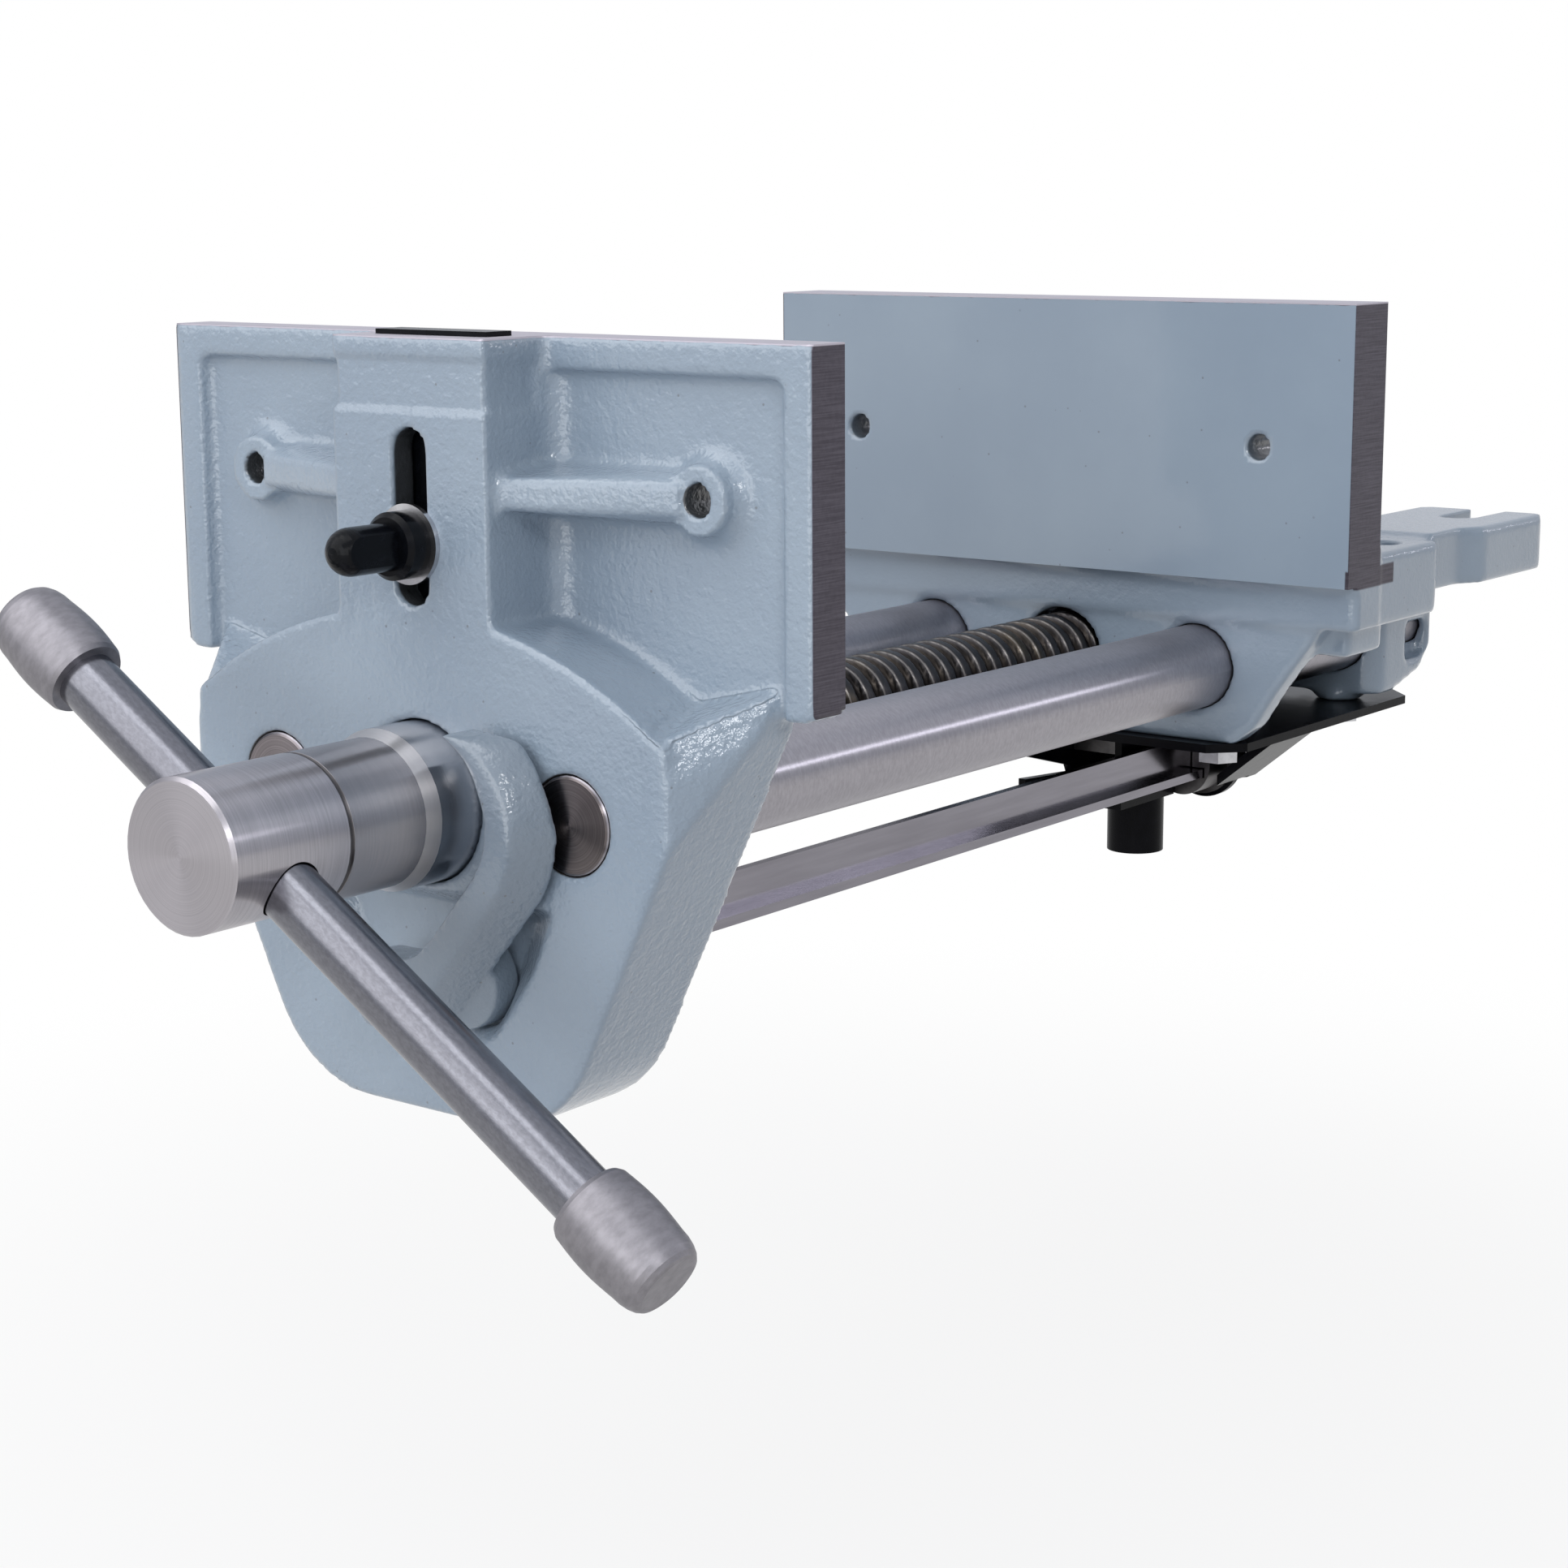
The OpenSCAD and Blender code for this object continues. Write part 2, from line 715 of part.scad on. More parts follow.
module rear_block() {
    difference() {
        translate([-block_half, 0, 0]) rotate([90, 0, 90]) linear_extrude(height = 2 * block_half) polygon([
            [block_y, -rear_plate_h], [block_y, -block_drop], [block_rise_y, -block_drop],
            [block_end_y - block_corner, block_lift - block_drop],
            [block_end_y, block_lift + block_corner - block_drop], [block_end_y, -rear_plate_h]]);
        block(-block_hollow_half, block_hollow_half, block_hollow_y, block_end_y + over,
              -block_drop - over, -rear_plate_h - waist_in);
        both_x() block(block_half - waist_in, block_half + over, window_y, window_y + window_len,
                       -axis_drop - window_h + over, over - axis_drop);
        both_x() translate([block_half, block_y, -block_drop - over]) rotate([0, 0, 45])
            translate([-block_corner / 2, -block_corner / 2, 0])
                cube([block_corner, block_corner, block_drop - rear_plate_h + over]);
    }
}

module rear_jaw_body() {
    half = jaw_w / 2;
    slab_half = half - slab_side_in;
    slab_top = -jaw_rise - slab_step;
    wall_end_y = rear_body_y + rear_wall_t;
    color(enamel) rear_frame() difference() {
        union() {
            block(-half, half, 0, rear_plate_t, -rear_plate_h, 0);
            block(-slab_half, slab_half, slab_y, slab_end_y, slab_top - slab_t, slab_top);
            translate([0, 0, -jaw_rise - platform_t]) linear_extrude(height = platform_t - slab_step) ear_plan();
            translate([0, 0, -jaw_rise - slab_step]) linear_extrude(height = slab_step) intersection() {
                ear_plan();
                translate([-half, platform_y]) square([jaw_w, ear_len]);
            }
            push_y(rear_body_y, wall_end_y) polygon(both_sides([
                [0, -rear_wall_drop], [wall_foot_half, -rear_wall_drop], [wall_low_half, -wall_low_drop],
                [wall_mid_half, -wall_mid_drop], [wall_top_half, -wall_top_drop],
                [wall_top_half, -rear_plate_h], [0, -rear_plate_h]]));
            rear_block();
            both_x() block(gusset_x, gusset_x + gusset_w, wall_end_y - over, gusset_end_y,
                           -gusset_drop, slab_top - over);
            block(-centre_wall_half, centre_wall_half, centre_wall_y, centre_wall_y + centre_wall_t,
                  -block_drop, -jaw_rise - over);
            both_x() translate([bolt_front_x, bolt_front_y, -rear_wall_drop])
                cylinder(h = rear_wall_drop - wall_mid_drop - over, r = bolt_pad_r);
            both_x() translate([bolt_rear_x, bolt_rear_y, -rear_wall_drop])
                cylinder(h = rear_wall_drop - block_drop + over, r = bolt_pad_r);
        }
        // Holes for the screws of the wooden facing
        both_x() round_y(facing_spacing / 2, -rear_hole_drop, facing_hole_d / 2, -over,
                         rear_plate_t + over);
        // Bench bolt holes and the open slots in the ears
        both_x() translate([bench_front_spacing / 2, rear_plate_t + bench_front_y, -jaw_rise - slab_t - 2 * over])
            cylinder(h = slab_t + 3 * over, r = bench_hole_d / 2);
        both_x() translate([ear_slot_spacing / 2, ear_slot_y, -jaw_rise - slab_t]) {
            cylinder(h = slab_t + over, r = bench_hole_d / 2);
            translate([-bench_hole_d / 2, 0, 0]) cube([bench_hole_d, ear_len, slab_t + over]);
        }
        // Bores of the rods and the hole for the screw
        both_x() round_y(rod_x, -axis_drop, rod_r + running, rear_body_y - over, block_end_y + over);
        round_y(0, -axis_drop, screw_r + screw_gap, rear_body_y - over, block_end_y + over);
        // Tapped holes of the bracket bolts
        both_x() translate([bolt_front_x, bolt_front_y, -rear_wall_drop - over])
            cylinder(h = bolt_grip + over, r = bolt_r);
        both_x() translate([bolt_rear_x, bolt_rear_y, -rear_wall_drop - over])
            cylinder(h = bolt_grip + over, r = bolt_r);
    }
}

// Pressed bracket that carries the half nut, the cam and the spring cup
pan_x = tang_half + play + sheet_t;
pan_foot = pan_floor_drop + sheet_t;

module nut_bracket() {
    flange_top = -rear_wall_drop;
    flange_foot = -rear_wall_drop - flange_t;
    inner = tang_half + play;
    color(black_finish) rear_frame() difference() {
        union() {
            translate([0, 0, flange_foot]) linear_extrude(height = flange_t) polygon(both_sides([
                [0, flange_y], [flange_half - flange_corner, flange_y], [flange_half, flange_y + flange_corner],
                [flange_half, flange_end_y - flange_corner], [flange_half - flange_corner, flange_end_y],
                [0, flange_end_y]]));
            // Cheeks beside the tang
            block(-pan_x, -inner, cheek_left_y, pan_end_y, -pan_foot, flange_top);
            block(inner, pan_x, cheek_right_y, cam_window_y, -pan_foot, flange_foot + over);
            // Floor
            block(-pan_x, pan_x, cheek_right_y, pan_end_y, -pan_foot, -pan_floor_drop);
            // Sloping sides
            push_y(pan_y, pan_end_y) both_x() polygon([
                [pan_x - sheet_t, -pan_foot], [pan_bend_x + over, -pan_bend_drop - sheet_t],
                [pan_lip_x + over, flange_foot], [pan_lip_x - sheet_t, flange_foot + over],
                [pan_bend_x, -pan_bend_drop], [pan_x - sheet_t, -pan_floor_drop]]);
            // Bearing plate of the cam
            push_y(bearing_y, bearing_y + bearing_t) {
                translate([release_x, -release_drop]) circle(r = cam_r + bearing_wall);
                translate([-pan_x, -release_drop]) square([pan_x + bearing_half, release_drop + flange_foot + over]);
                translate([-pan_x, -pan_foot]) square([pan_x, pan_foot - release_drop + over]);
            }
        }
        // Window for the tang of the half nut
        block(-inner, inner, tang_y - over, tang_y + tang_len + finger_w * 2, flange_foot - over, flange_top + over);
        // Wedge-shaped slot in the left cheek
        translate([-pan_x - over, 0, 0]) rotate([90, 0, 90]) linear_extrude(height = sheet_t + 2 * over) polygon([
            [cheek_left_y - over, -fork_drop], [fork_end_y, -fork_end_drop], [fork_end_y + over, -fork_tip_drop],
            [cheek_left_y - over, -fork_low_drop]]);
        // Window for the cam
        difference() {
            block(release_x - cam_ring_r - play, release_x + cam_ring_r - play, cam_window_y, cam_window_end_y,
                  -pan_foot - over, -release_drop);
            block(-pan_lip_x, pan_lip_x, bearing_y, bearing_y + bearing_t, -pan_foot - 2 * over, 0);
        }
        round_y(release_x, -release_drop, cam_r + running, bearing_y - over, bearing_y + bearing_t + over);
        // Hole for the plunger, and the bolt holes
        translate([0, cup_y, -pan_foot - over]) cylinder(h = sheet_t + 2 * over, r = plunger_r + play);
        both_x() translate([bolt_front_x, bolt_front_y, flange_foot - over])
            cylinder(h = flange_t + 2 * over, r = bolt_r);
        both_x() translate([bolt_rear_x, bolt_rear_y, flange_foot - over])
            cylinder(h = flange_t + 2 * over, r = bolt_r);
    }
}

module bracket_bolt(x, y) {
    foot = -rear_wall_drop - flange_t;
    translate([x, y, foot - bolt_head_h]) cylinder(h = bolt_head_h, r = bolt_flats / sqrt(3), $fn = 6);
    translate([x, y, foot - over]) cylinder(h = flange_t + bolt_grip, r = bolt_r - bolt_fit);
}

module bracket_bolts() {
    color(zinc) rear_frame() both_x() {
        bracket_bolt(bolt_front_x, bolt_front_y);
        bracket_bolt(bolt_rear_x, bolt_rear_y);
    }
}

module spring_cup() {
    color(black_finish) rear_frame() translate([0, cup_y, -pan_foot - cup_len]) difference() {
        cylinder(h = cup_len, r = cup_r);
        translate([0, 0, cup_wall]) cylinder(h = cup_len, r = cup_r - cup_wall);
    }
}

module trip_cam() {
    color(dark_steel) rear_frame() difference() {
        union() {
            round_y(release_x, -release_drop, cam_r, cam_y, cam_y + cam_len);
            round_y(release_x, -release_drop, cam_ring_r, bearing_y - play - cam_ring_t, bearing_y - play);
            round_y(release_x, -release_drop, cam_ring_r, bearing_y + bearing_t + play,
                    bearing_y + bearing_t + play + cam_ring_t);
            block(release_x - finger_reach, release_x - cam_r + over, finger_y, finger_y + finger_w,
                  finger_up - release_drop, finger_up + finger_t - release_drop);
        }
        push_y(cam_y - over, cam_y + cam_len + over) bar_section(play);
    }
}

// Half nut with its tang and the hook that the cam's finger pulls down
module half_nut() {
    from = rear_body_y + rear_wall_t + play;
    to = centre_wall_y - play;
    low = -axis_drop - nut_floor;
    nub_z = finger_up - release_drop - nub_gap - nub_r;
    foot_top = nub_z - nub_r / 2;
    foot_z = foot_top - hook_foot_t;
    color(dark_steel) rear_frame() difference() {
        union() {
            block(-nut_half, nut_half, from, to, low, -axis_drop - over);
            block(-tang_half, tang_half, tang_y, tang_y + tang_len, -tang_drop, low + over);
            block(-tang_half, hook_t - tang_half, tang_y + tang_len - hook_lap, finger_y + finger_w,
                  foot_z, over - tang_drop);
            block(-tang_half, nub_r, finger_y, finger_y + finger_w, foot_z, foot_top);
            round_y(0, nub_z, nub_r, finger_y, finger_y + finger_w);
        }
        round_y(0, -axis_drop, screw_r + running, from - over, to + over);
    }
}

module nut_plunger() {
    ring_z = -pan_foot - plunger_ring_gap;
    color(steel) rear_frame() translate([0, cup_y, 0]) {
        translate([0, 0, -tang_drop - plunger_len]) cylinder(h = plunger_len, r = plunger_r);
        translate([0, 0, ring_z - plunger_ring_t]) cylinder(h = plunger_ring_t, r = plunger_ring_r);
    }
}

// Spring: one tube swept along a helix
spring_low = -pan_foot - cup_len + cup_wall + spring_wire_r;
spring_high = -pan_foot - plunger_ring_gap - plunger_ring_t - spring_wire_r;
spring_steps = spring_turns * spring_rings;
function spring_point(i) = let (a = 360 * i / spring_rings)
    [spring_r * cos(a), spring_r * sin(a), spring_low + (spring_high - spring_low) * i / spring_steps];
function spring_ring(i) = let (a = 360 * i / spring_rings, c = spring_point(i))
    [for (j = [0:spring_sides - 1]) let (b = 360 * j / spring_sides)
        c + spring_wire_r * [cos(b) * cos(a), cos(b) * sin(a), sin(b)]];
spring_gap = (spring_high - spring_low) / spring_turns - 2 * spring_wire_r;
echo(spring_least_gap_mm = spring_gap);

module nut_spring() {
    points = [for (i = [0:spring_steps]) each spring_ring(i)];
    n = spring_sides;
    walls = [for (i = [0:spring_steps - 1], j = [0:n - 1]) let (k = (j + 1) % n)
        each [[i * n + j, i * n + k, (i + 1) * n + k], [i * n + j, (i + 1) * n + k, (i + 1) * n + j]]];
    last = spring_steps * n;
    ends = concat([for (j = [1:n - 2]) [0, j + 1, j]], [for (j = [1:n - 2]) [last, last + j, last + j + 1]]);
    color(steel) rear_frame() translate([0, cup_y, 0]) polyhedron(points = points, faces = concat(walls, ends));
}

// Bench dog, its thumbscrew and washer
dog_y = dog_front_wall - body_proud;

module bench_dog() {
    color(dark_steel) front_frame() difference() {
        block(-dog_w / 2, dog_w / 2, dog_y, dog_y + dog_t, dog_rise - dog_h, dog_rise);
        round_y(0, -dog_screw_drop, dog_screw_r + running, dog_y - over, dog_y + dog_t + over);
    }
}

module dog_washer() {
    color(zinc) front_frame() difference() {
        round_y(0, -dog_screw_drop, dog_washer_d / 2, -body_proud - dog_washer_t, -body_proud);
        round_y(0, -dog_screw_drop, dog_screw_r + running, -body_proud - dog_washer_t - over, over - body_proud);
    }
}

module dog_screw() {
    back = -body_proud - dog_washer_t;
    collar_front = back - knob_collar_t;
    knob_r = knob_d / 2;
    tip = collar_front - knob_len;
    color(black_finish) front_frame() {
        turned_y(0, -dog_screw_drop, [
            [0, collar_front], [knob_collar_d / 2 - over, collar_front], [knob_collar_d / 2, collar_front + over],
            [knob_collar_d / 2, back], [dog_screw_r, back], [dog_screw_r, dog_y + dog_t], [0, dog_y + dog_t]]);
        intersection() {
            turned_y(0, -dog_screw_drop, concat(
                [[0, collar_front + over], [0, tip]],
                arc_points(0, tip + knob_r, knob_r, -75, 0, 8), [[knob_r, collar_front + over]]));
            block(-knob_flat / 2, knob_flat / 2, tip - over, collar_front + 2 * over,
                  -dog_screw_drop - knob_r, knob_r - dog_screw_drop);
        }
    }
}

rear_jaw_body();
front_jaw();
guide_rod_left();
guide_rod_right();
rod_stop_rings();
main_screw();
thrust_washer();
screw_retaining_ring();
handle_bar();
handle_cap_upper();
handle_cap_lower();
release_lever();
lever_clip();
release_bar();
trip_cam();
half_nut();
nut_plunger();
nut_spring();
spring_cup();
nut_bracket();
bracket_bolts();
bench_dog();
dog_screw();
dog_washer();
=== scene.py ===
# %% [markdown]
# # A quick-release woodworking vise
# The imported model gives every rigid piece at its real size, in metres. This file adds what a
# drawing can't hold: cast skins with soft edges, enamel, turned and ground steel, and the
# screw's thread. Each step says what the piece is on the real vise, and why it is made this way.

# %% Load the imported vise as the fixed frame
import json
import math

import bmesh
import bpy
import numpy as np
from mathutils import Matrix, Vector

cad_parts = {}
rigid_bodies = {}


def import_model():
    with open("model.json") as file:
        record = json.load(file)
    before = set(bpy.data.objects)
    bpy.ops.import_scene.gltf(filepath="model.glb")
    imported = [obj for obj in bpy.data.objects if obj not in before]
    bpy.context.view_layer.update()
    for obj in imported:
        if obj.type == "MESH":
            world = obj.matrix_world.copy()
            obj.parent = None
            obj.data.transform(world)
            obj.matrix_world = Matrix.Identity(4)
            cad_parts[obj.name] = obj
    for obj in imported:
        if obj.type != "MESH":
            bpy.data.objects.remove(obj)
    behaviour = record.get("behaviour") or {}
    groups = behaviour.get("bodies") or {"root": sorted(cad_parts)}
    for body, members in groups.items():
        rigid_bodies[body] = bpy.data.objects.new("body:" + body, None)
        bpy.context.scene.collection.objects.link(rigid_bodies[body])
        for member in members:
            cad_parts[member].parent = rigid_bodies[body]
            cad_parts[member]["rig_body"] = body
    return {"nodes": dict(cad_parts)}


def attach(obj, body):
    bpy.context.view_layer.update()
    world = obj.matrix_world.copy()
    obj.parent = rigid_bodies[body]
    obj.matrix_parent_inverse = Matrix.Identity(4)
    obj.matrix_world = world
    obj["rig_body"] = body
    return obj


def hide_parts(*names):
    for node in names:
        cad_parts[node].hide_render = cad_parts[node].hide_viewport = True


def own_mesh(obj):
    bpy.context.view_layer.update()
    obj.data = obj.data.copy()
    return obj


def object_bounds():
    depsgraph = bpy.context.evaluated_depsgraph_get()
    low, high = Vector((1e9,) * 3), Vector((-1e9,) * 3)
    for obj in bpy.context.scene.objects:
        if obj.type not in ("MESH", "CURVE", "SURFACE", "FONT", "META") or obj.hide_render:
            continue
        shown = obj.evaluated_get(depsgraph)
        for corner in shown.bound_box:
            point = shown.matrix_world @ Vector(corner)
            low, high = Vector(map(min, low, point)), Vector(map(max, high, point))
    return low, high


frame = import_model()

cad_low, cad_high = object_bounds()
nodes = frame["nodes"]
print("nodes", len(nodes), "box", [round(b - a, 4) for a, b in zip(cad_low, cad_high)])

# %% [markdown]
# ## Places on the vise
# The origin is where the bench's lower front edge goes: +Y runs to the rear and +Z up. The front
# jaw stands open, so its places have large negative Y. A place that a finish or a piece needs
# again is named once here: the rods and the screw share one level, for instance.

# %% Named places, in metres
MM = 0.001
X, Y, Z = 0, 1, 2

jaw_end_x = 89.0 * MM
jaw_top_z = 62.5 * MM
hole_x = 62.5 * MM

front_rim_y = -240.5 * MM
front_face_y = -258.5 * MM
front_grip_y = front_rim_y + 10.5 * MM
front_hole_z = jaw_top_z - 30.8 * MM
neck_top_z = jaw_top_z - 4.5 * MM
neck_foot_z = jaw_top_z - 14.5 * MM
slot_top_z = jaw_top_z - 17.0 * MM
slot_foot_z = jaw_top_z - 56.0 * MM

rear_grip_y = -17.0 * MM
rear_hole_z = jaw_top_z - 36.5 * MM
plate_foot_z = jaw_top_z - 70.9 * MM
milled_foot_z = -4.2 * MM
milled_foot_y = 8.6 * MM

axis_z = -33.0 * MM
rod_x = 41.5 * MM
rod_r = 11.1 * MM
spigot_r = 10.2 * MM
screw_bore_r = 12.2 * MM
collar_r = 17.0 * MM
head_face_y = -323.3 * MM
thread_start_y = -224.5 * MM
handle_lean = math.radians(32.2)
arm_top_z = jaw_top_z - 77.6 * MM

nut_y = 31.2 * MM
spring_foot_z = -93.2 * MM
wire_r = 0.55 * MM

floor_z = cad_low.z - 110.0 * MM
print("floor", round(floor_z, 4), "front face", front_face_y)

# %% [markdown]
# ## The camera
# The photograph was taken from the right of the front jaw, a little above it, with a short
# telephoto lens. Its place was found by fitting corners of the model to the same corners in the
# photograph. Only a place, three turns and a focal length are needed.

# %% Camera at the photograph's angle
def add_object(name, data):
    item = bpy.data.objects.new(name, data)
    bpy.context.scene.collection.objects.link(item)
    return item


camera = add_object("camera", bpy.data.cameras.new("camera"))
camera.location = (0.42966, -0.69375, 0.09171)
camera.rotation_euler = [math.radians(turn) for turn in (78.689, 0.328, 37.440)]
camera.data.lens = 68.606
camera.data.sensor_width = 36.0
camera.data.clip_start, camera.data.clip_end = 0.01, 50.0
bpy.context.scene.camera = camera
bpy.context.scene.view_settings.view_transform = "Standard"
print("camera", [round(c, 4) for c in camera.location])

# %% [markdown]
# ## Helpers for node trees
# A finish is a small tree of nodes. Writing each link by hand hides what the tree does, so one
# helper adds a node with its inputs, and others do sums and soft masks. A mask is a number from
# 0 to 1 that says where a finish holds, worked out from the place on the piece.

# %% Helpers that add nodes
def put(tree, kind, settings=None, inputs=None):
    node = tree.nodes.new(kind)
    for key, value in (settings or {}).items():
        setattr(node, key, value)
    for key, value in (inputs or {}).items():
        if isinstance(value, bpy.types.NodeSocket):
            tree.links.new(value, node.inputs[key])
        else:
            node.inputs[key].default_value = value
    return node


def calc(tree, operation, a, b=0.0, c=None):
    values = {0: a, 1: b} if c is None else {0: a, 1: b, 2: c}
    return put(tree, "ShaderNodeMath", {"operation": operation}, values).outputs[0]


def ramp_up(tree, value, low, high):
    """0 below low, 1 above high, with a soft step between."""
    node = put(tree, "ShaderNodeMapRange", {"interpolation_type": "SMOOTHSTEP"},
               {"Value": value, "From Min": low, "From Max": high})
    return node.outputs["Result"]


def ramp_down(tree, value, low, high):
    return calc(tree, "SUBTRACT", 1.0, ramp_up(tree, value, low, high))


def both(tree, *masks):
    result = masks[0]
    for m in masks[1:]:
        result = calc(tree, "MULTIPLY", result, m)
    return result


def either(tree, *masks):
    result = masks[0]
    for m in masks[1:]:
        result = calc(tree, "MAXIMUM", result, m)
    return result


def split(tree, vector):
    return put(tree, "ShaderNodeSeparateXYZ", None, {0: vector}).outputs


def place(tree):
    """The place on the piece, whole and as X, Y and Z."""
    whole = put(tree, "ShaderNodeTexCoord").outputs["Object"]
    parts = split(tree, whole)
    return whole, parts[X], parts[Y], parts[Z]


def radius_from(tree, x, z, cx, cz):
    """Distance from an axis that runs along Y."""
    dx = calc(tree, "SUBTRACT", x, cx)
    dz = calc(tree, "SUBTRACT", z, cz)
    square = calc(tree, "ADD", calc(tree, "MULTIPLY", dx, dx), calc(tree, "MULTIPLY", dz, dz))
    return calc(tree, "SQRT", square)


def noise(tree, vector, scale, detail=2.0, stretch=(1, 1, 1), turn=(0, 0, 0), roughness=0.5):
    turned = put(tree, "ShaderNodeMapping", None, {"Vector": vector, "Rotation": turn}).outputs[0]
    mapped = put(tree, "ShaderNodeMapping", None, {"Vector": turned, "Scale": stretch}).outputs[0]
    node = put(tree, "ShaderNodeTexNoise", None,
               {"Vector": mapped, "Scale": scale, "Detail": detail, "Roughness": roughness})
    return node.outputs["Fac"]


def mix_colour(tree, share, one, two):
    node = put(tree, "ShaderNodeMix", {"data_type": "RGBA"}, {0: share, 6: one, 7: two})
    return node.outputs[2]


def mix_value(tree, share, one, two):
    node = put(tree, "ShaderNodeMix", {"data_type": "FLOAT"}, {0: share, 2: one, 3: two})
    return node.outputs[0]


def bump(tree, height, distance, strength, normal=None):
    values = {"Height": height, "Distance": distance, "Strength": strength}
    if normal is not None:
        values["Normal"] = normal
    return put(tree, "ShaderNodeBump", None, values).outputs[0]


# %% Helpers that start and end a material
def new_material(name):
    material = bpy.data.materials.new(name)
    material.use_nodes = True
    tree = material.node_tree
    tree.nodes.clear()
    return material, tree


def principled(tree, values):
    return put(tree, "ShaderNodeBsdfPrincipled", None, values).outputs[0]


def shine(tree, shader):
    put(tree, "ShaderNodeOutputMaterial", None, {0: shader})


# %% [markdown]
# ## Enamel over cast iron
# The castings are dipped or sprayed in a grey-blue enamel. It isn't smooth: the sand of the
# mould shows through as a fine orange peel, and thick paint shines where it has pooled. The
# jaw ends and tops are milled after painting, so bare iron shows there, with fine lines. The
# ends are dark, and the tops get a pale colour that is a painted highlight, for the sheen of
# grazing light on bare iron. One material holds all of it, and a mask says where the cutter
# went.

# %% Enamel and milled iron
ENAMEL = (0.282, 0.350, 0.425)
ENAMEL_DEEP = (0.248, 0.313, 0.390)
SPECK = (0.10, 0.09, 0.08, 1)
# Painted shade: the near-black of gaps, bores, holes and the dog's slot.
GAP_SHADE = (0.02, 0.018, 0.016, 1)
MILLED_DARK = (0.060, 0.053, 0.070, 1)
MILLED_LIGHT = (0.115, 0.105, 0.130, 1)
MILLED_PATCH = (0.080, 0.068, 0.072, 1)
# The pale tone of the milled tops is a painted highlight: the sheen of grazing light on iron.
MILLED_TOP_PAINTED_SHEEN = (0.520, 0.490, 0.545, 1)
CUTTER_LINES = (1, 40, 1500)
PEEL_DEPTH = 0.28 * MM
DENT_DEPTH = 0.8 * MM


def near_top(tree, z):
    return ramp_up(tree, z, jaw_top_z - 0.5 * MM, jaw_top_z - 0.25 * MM)


def milled_iron(tree, whole, z):
    """Bare milled iron: long fine lines left by the cutter, and a top painted brighter as a
    highlight.
    """
    lines = noise(tree, whole, 2.0, 3.0, CUTTER_LINES, roughness=0.6)
    grain = noise(tree, whole, 900.0, 2.0)
    patches = noise(tree, whole, 60.0, 3.0)
    marks = calc(tree, "MULTIPLY_ADD", grain, 0.2, calc(tree, "MULTIPLY", lines, 0.8))
    tone = mix_colour(tree, ramp_up(tree, marks, 0.30, 0.70), MILLED_DARK, MILLED_LIGHT)
    tone = mix_colour(tree, calc(tree, "MULTIPLY", patches, 0.35), tone, MILLED_PATCH)
    # Painted highlight: the top is lightened for the sheen of grazing light on the milled iron.
    tone = mix_colour(tree, near_top(tree, z), tone, MILLED_TOP_PAINTED_SHEEN)
    return principled(tree, {"Base Color": tone, "Metallic": 0.80, "Roughness": 0.46,
                             "Normal": bump(tree, marks, 0.05 * MM, 0.6)})


def enamel_skin(tree, whole, dark, hammered, smooth, grit, shade):
    """Paint: pooled tone, specks, orange peel; painted shade in gaps, and for a piece in shadow.
    """
    cloud = noise(tree, whole, 22.0, 4.0)
    # A shade below 1 darkens the paint for a piece that lies in shadow: painted shade.
    deep, pale = ((*(c * shade for c in tint), 1.0) for tint in (ENAMEL_DEEP, ENAMEL))
    tone = mix_colour(tree, ramp_up(tree, cloud, 0.3, 0.75), deep, pale)
    cells = put(tree, "ShaderNodeTexVoronoi", None, {"Vector": whole, "Scale": 520.0})
    rare = split(tree, cells.outputs["Color"])[X]
    speck = both(tree, ramp_down(tree, cells.outputs["Distance"], 0.10, 0.20),
                 ramp_up(tree, rare, 0.965, 0.97))
    tone = mix_colour(tree, calc(tree, "MULTIPLY", speck, 0.5), tone, SPECK)
    # Painted shade where a mask asks for it: gaps, bores, holes and the slot.
    if dark is not None:
        tone = mix_colour(tree, dark, tone, GAP_SHADE)
    peel = noise(tree, whole, 980.0, 2.0)
    coarse = noise(tree, whole, 400.0, 2.0)
    height = calc(tree, "MULTIPLY_ADD", coarse, 1.4, peel)
    if smooth is not None:
        height = calc(tree, "MULTIPLY", height, calc(tree, "MULTIPLY_ADD", smooth, -0.85, 1.0))
    normal = bump(tree, height, PEEL_DEPTH * grit, 0.75)
    if hammered is not None:
        dents = noise(tree, whole, 420.0, 1.0)
        normal = bump(tree, calc(tree, "MULTIPLY", dents, hammered), DENT_DEPTH, 0.8, normal)
    return principled(tree, {"Base Color": tone, "Roughness": 0.38, "Coat Weight": 1.0,
                             "Coat Roughness": 0.055, "Normal": normal, "Coat Normal": normal})


def finish_enamel(name, milled_mask=None, gap_shade_mask=None, hammered_mask=None, smooth_mask=None,
                  grit=1.0, shade=1.0):
    material, tree = new_material(name)
    whole, x, y, z = place(tree)
    dark = gap_shade_mask(tree, x, y, z) if gap_shade_mask else None
    hammered = hammered_mask(tree, x, z) if hammered_mask else None
    smooth = smooth_mask(tree, y, z) if smooth_mask else None
    skin = enamel_skin(tree, whole, dark, hammered, smooth, grit, shade)
    if milled_mask:
        edge = noise(tree, whole, 300.0, 2.0)
        wobble = calc(tree, "MULTIPLY_ADD", edge, 0.6 * MM, -0.3 * MM)
        share = milled_mask(tree, x, y, z, wobble)
        skin = put(tree, "ShaderNodeMixShader", None,
                   {0: share, 1: skin, 2: milled_iron(tree, whole, z)}).outputs[0]
    shine(tree, skin)
    return material


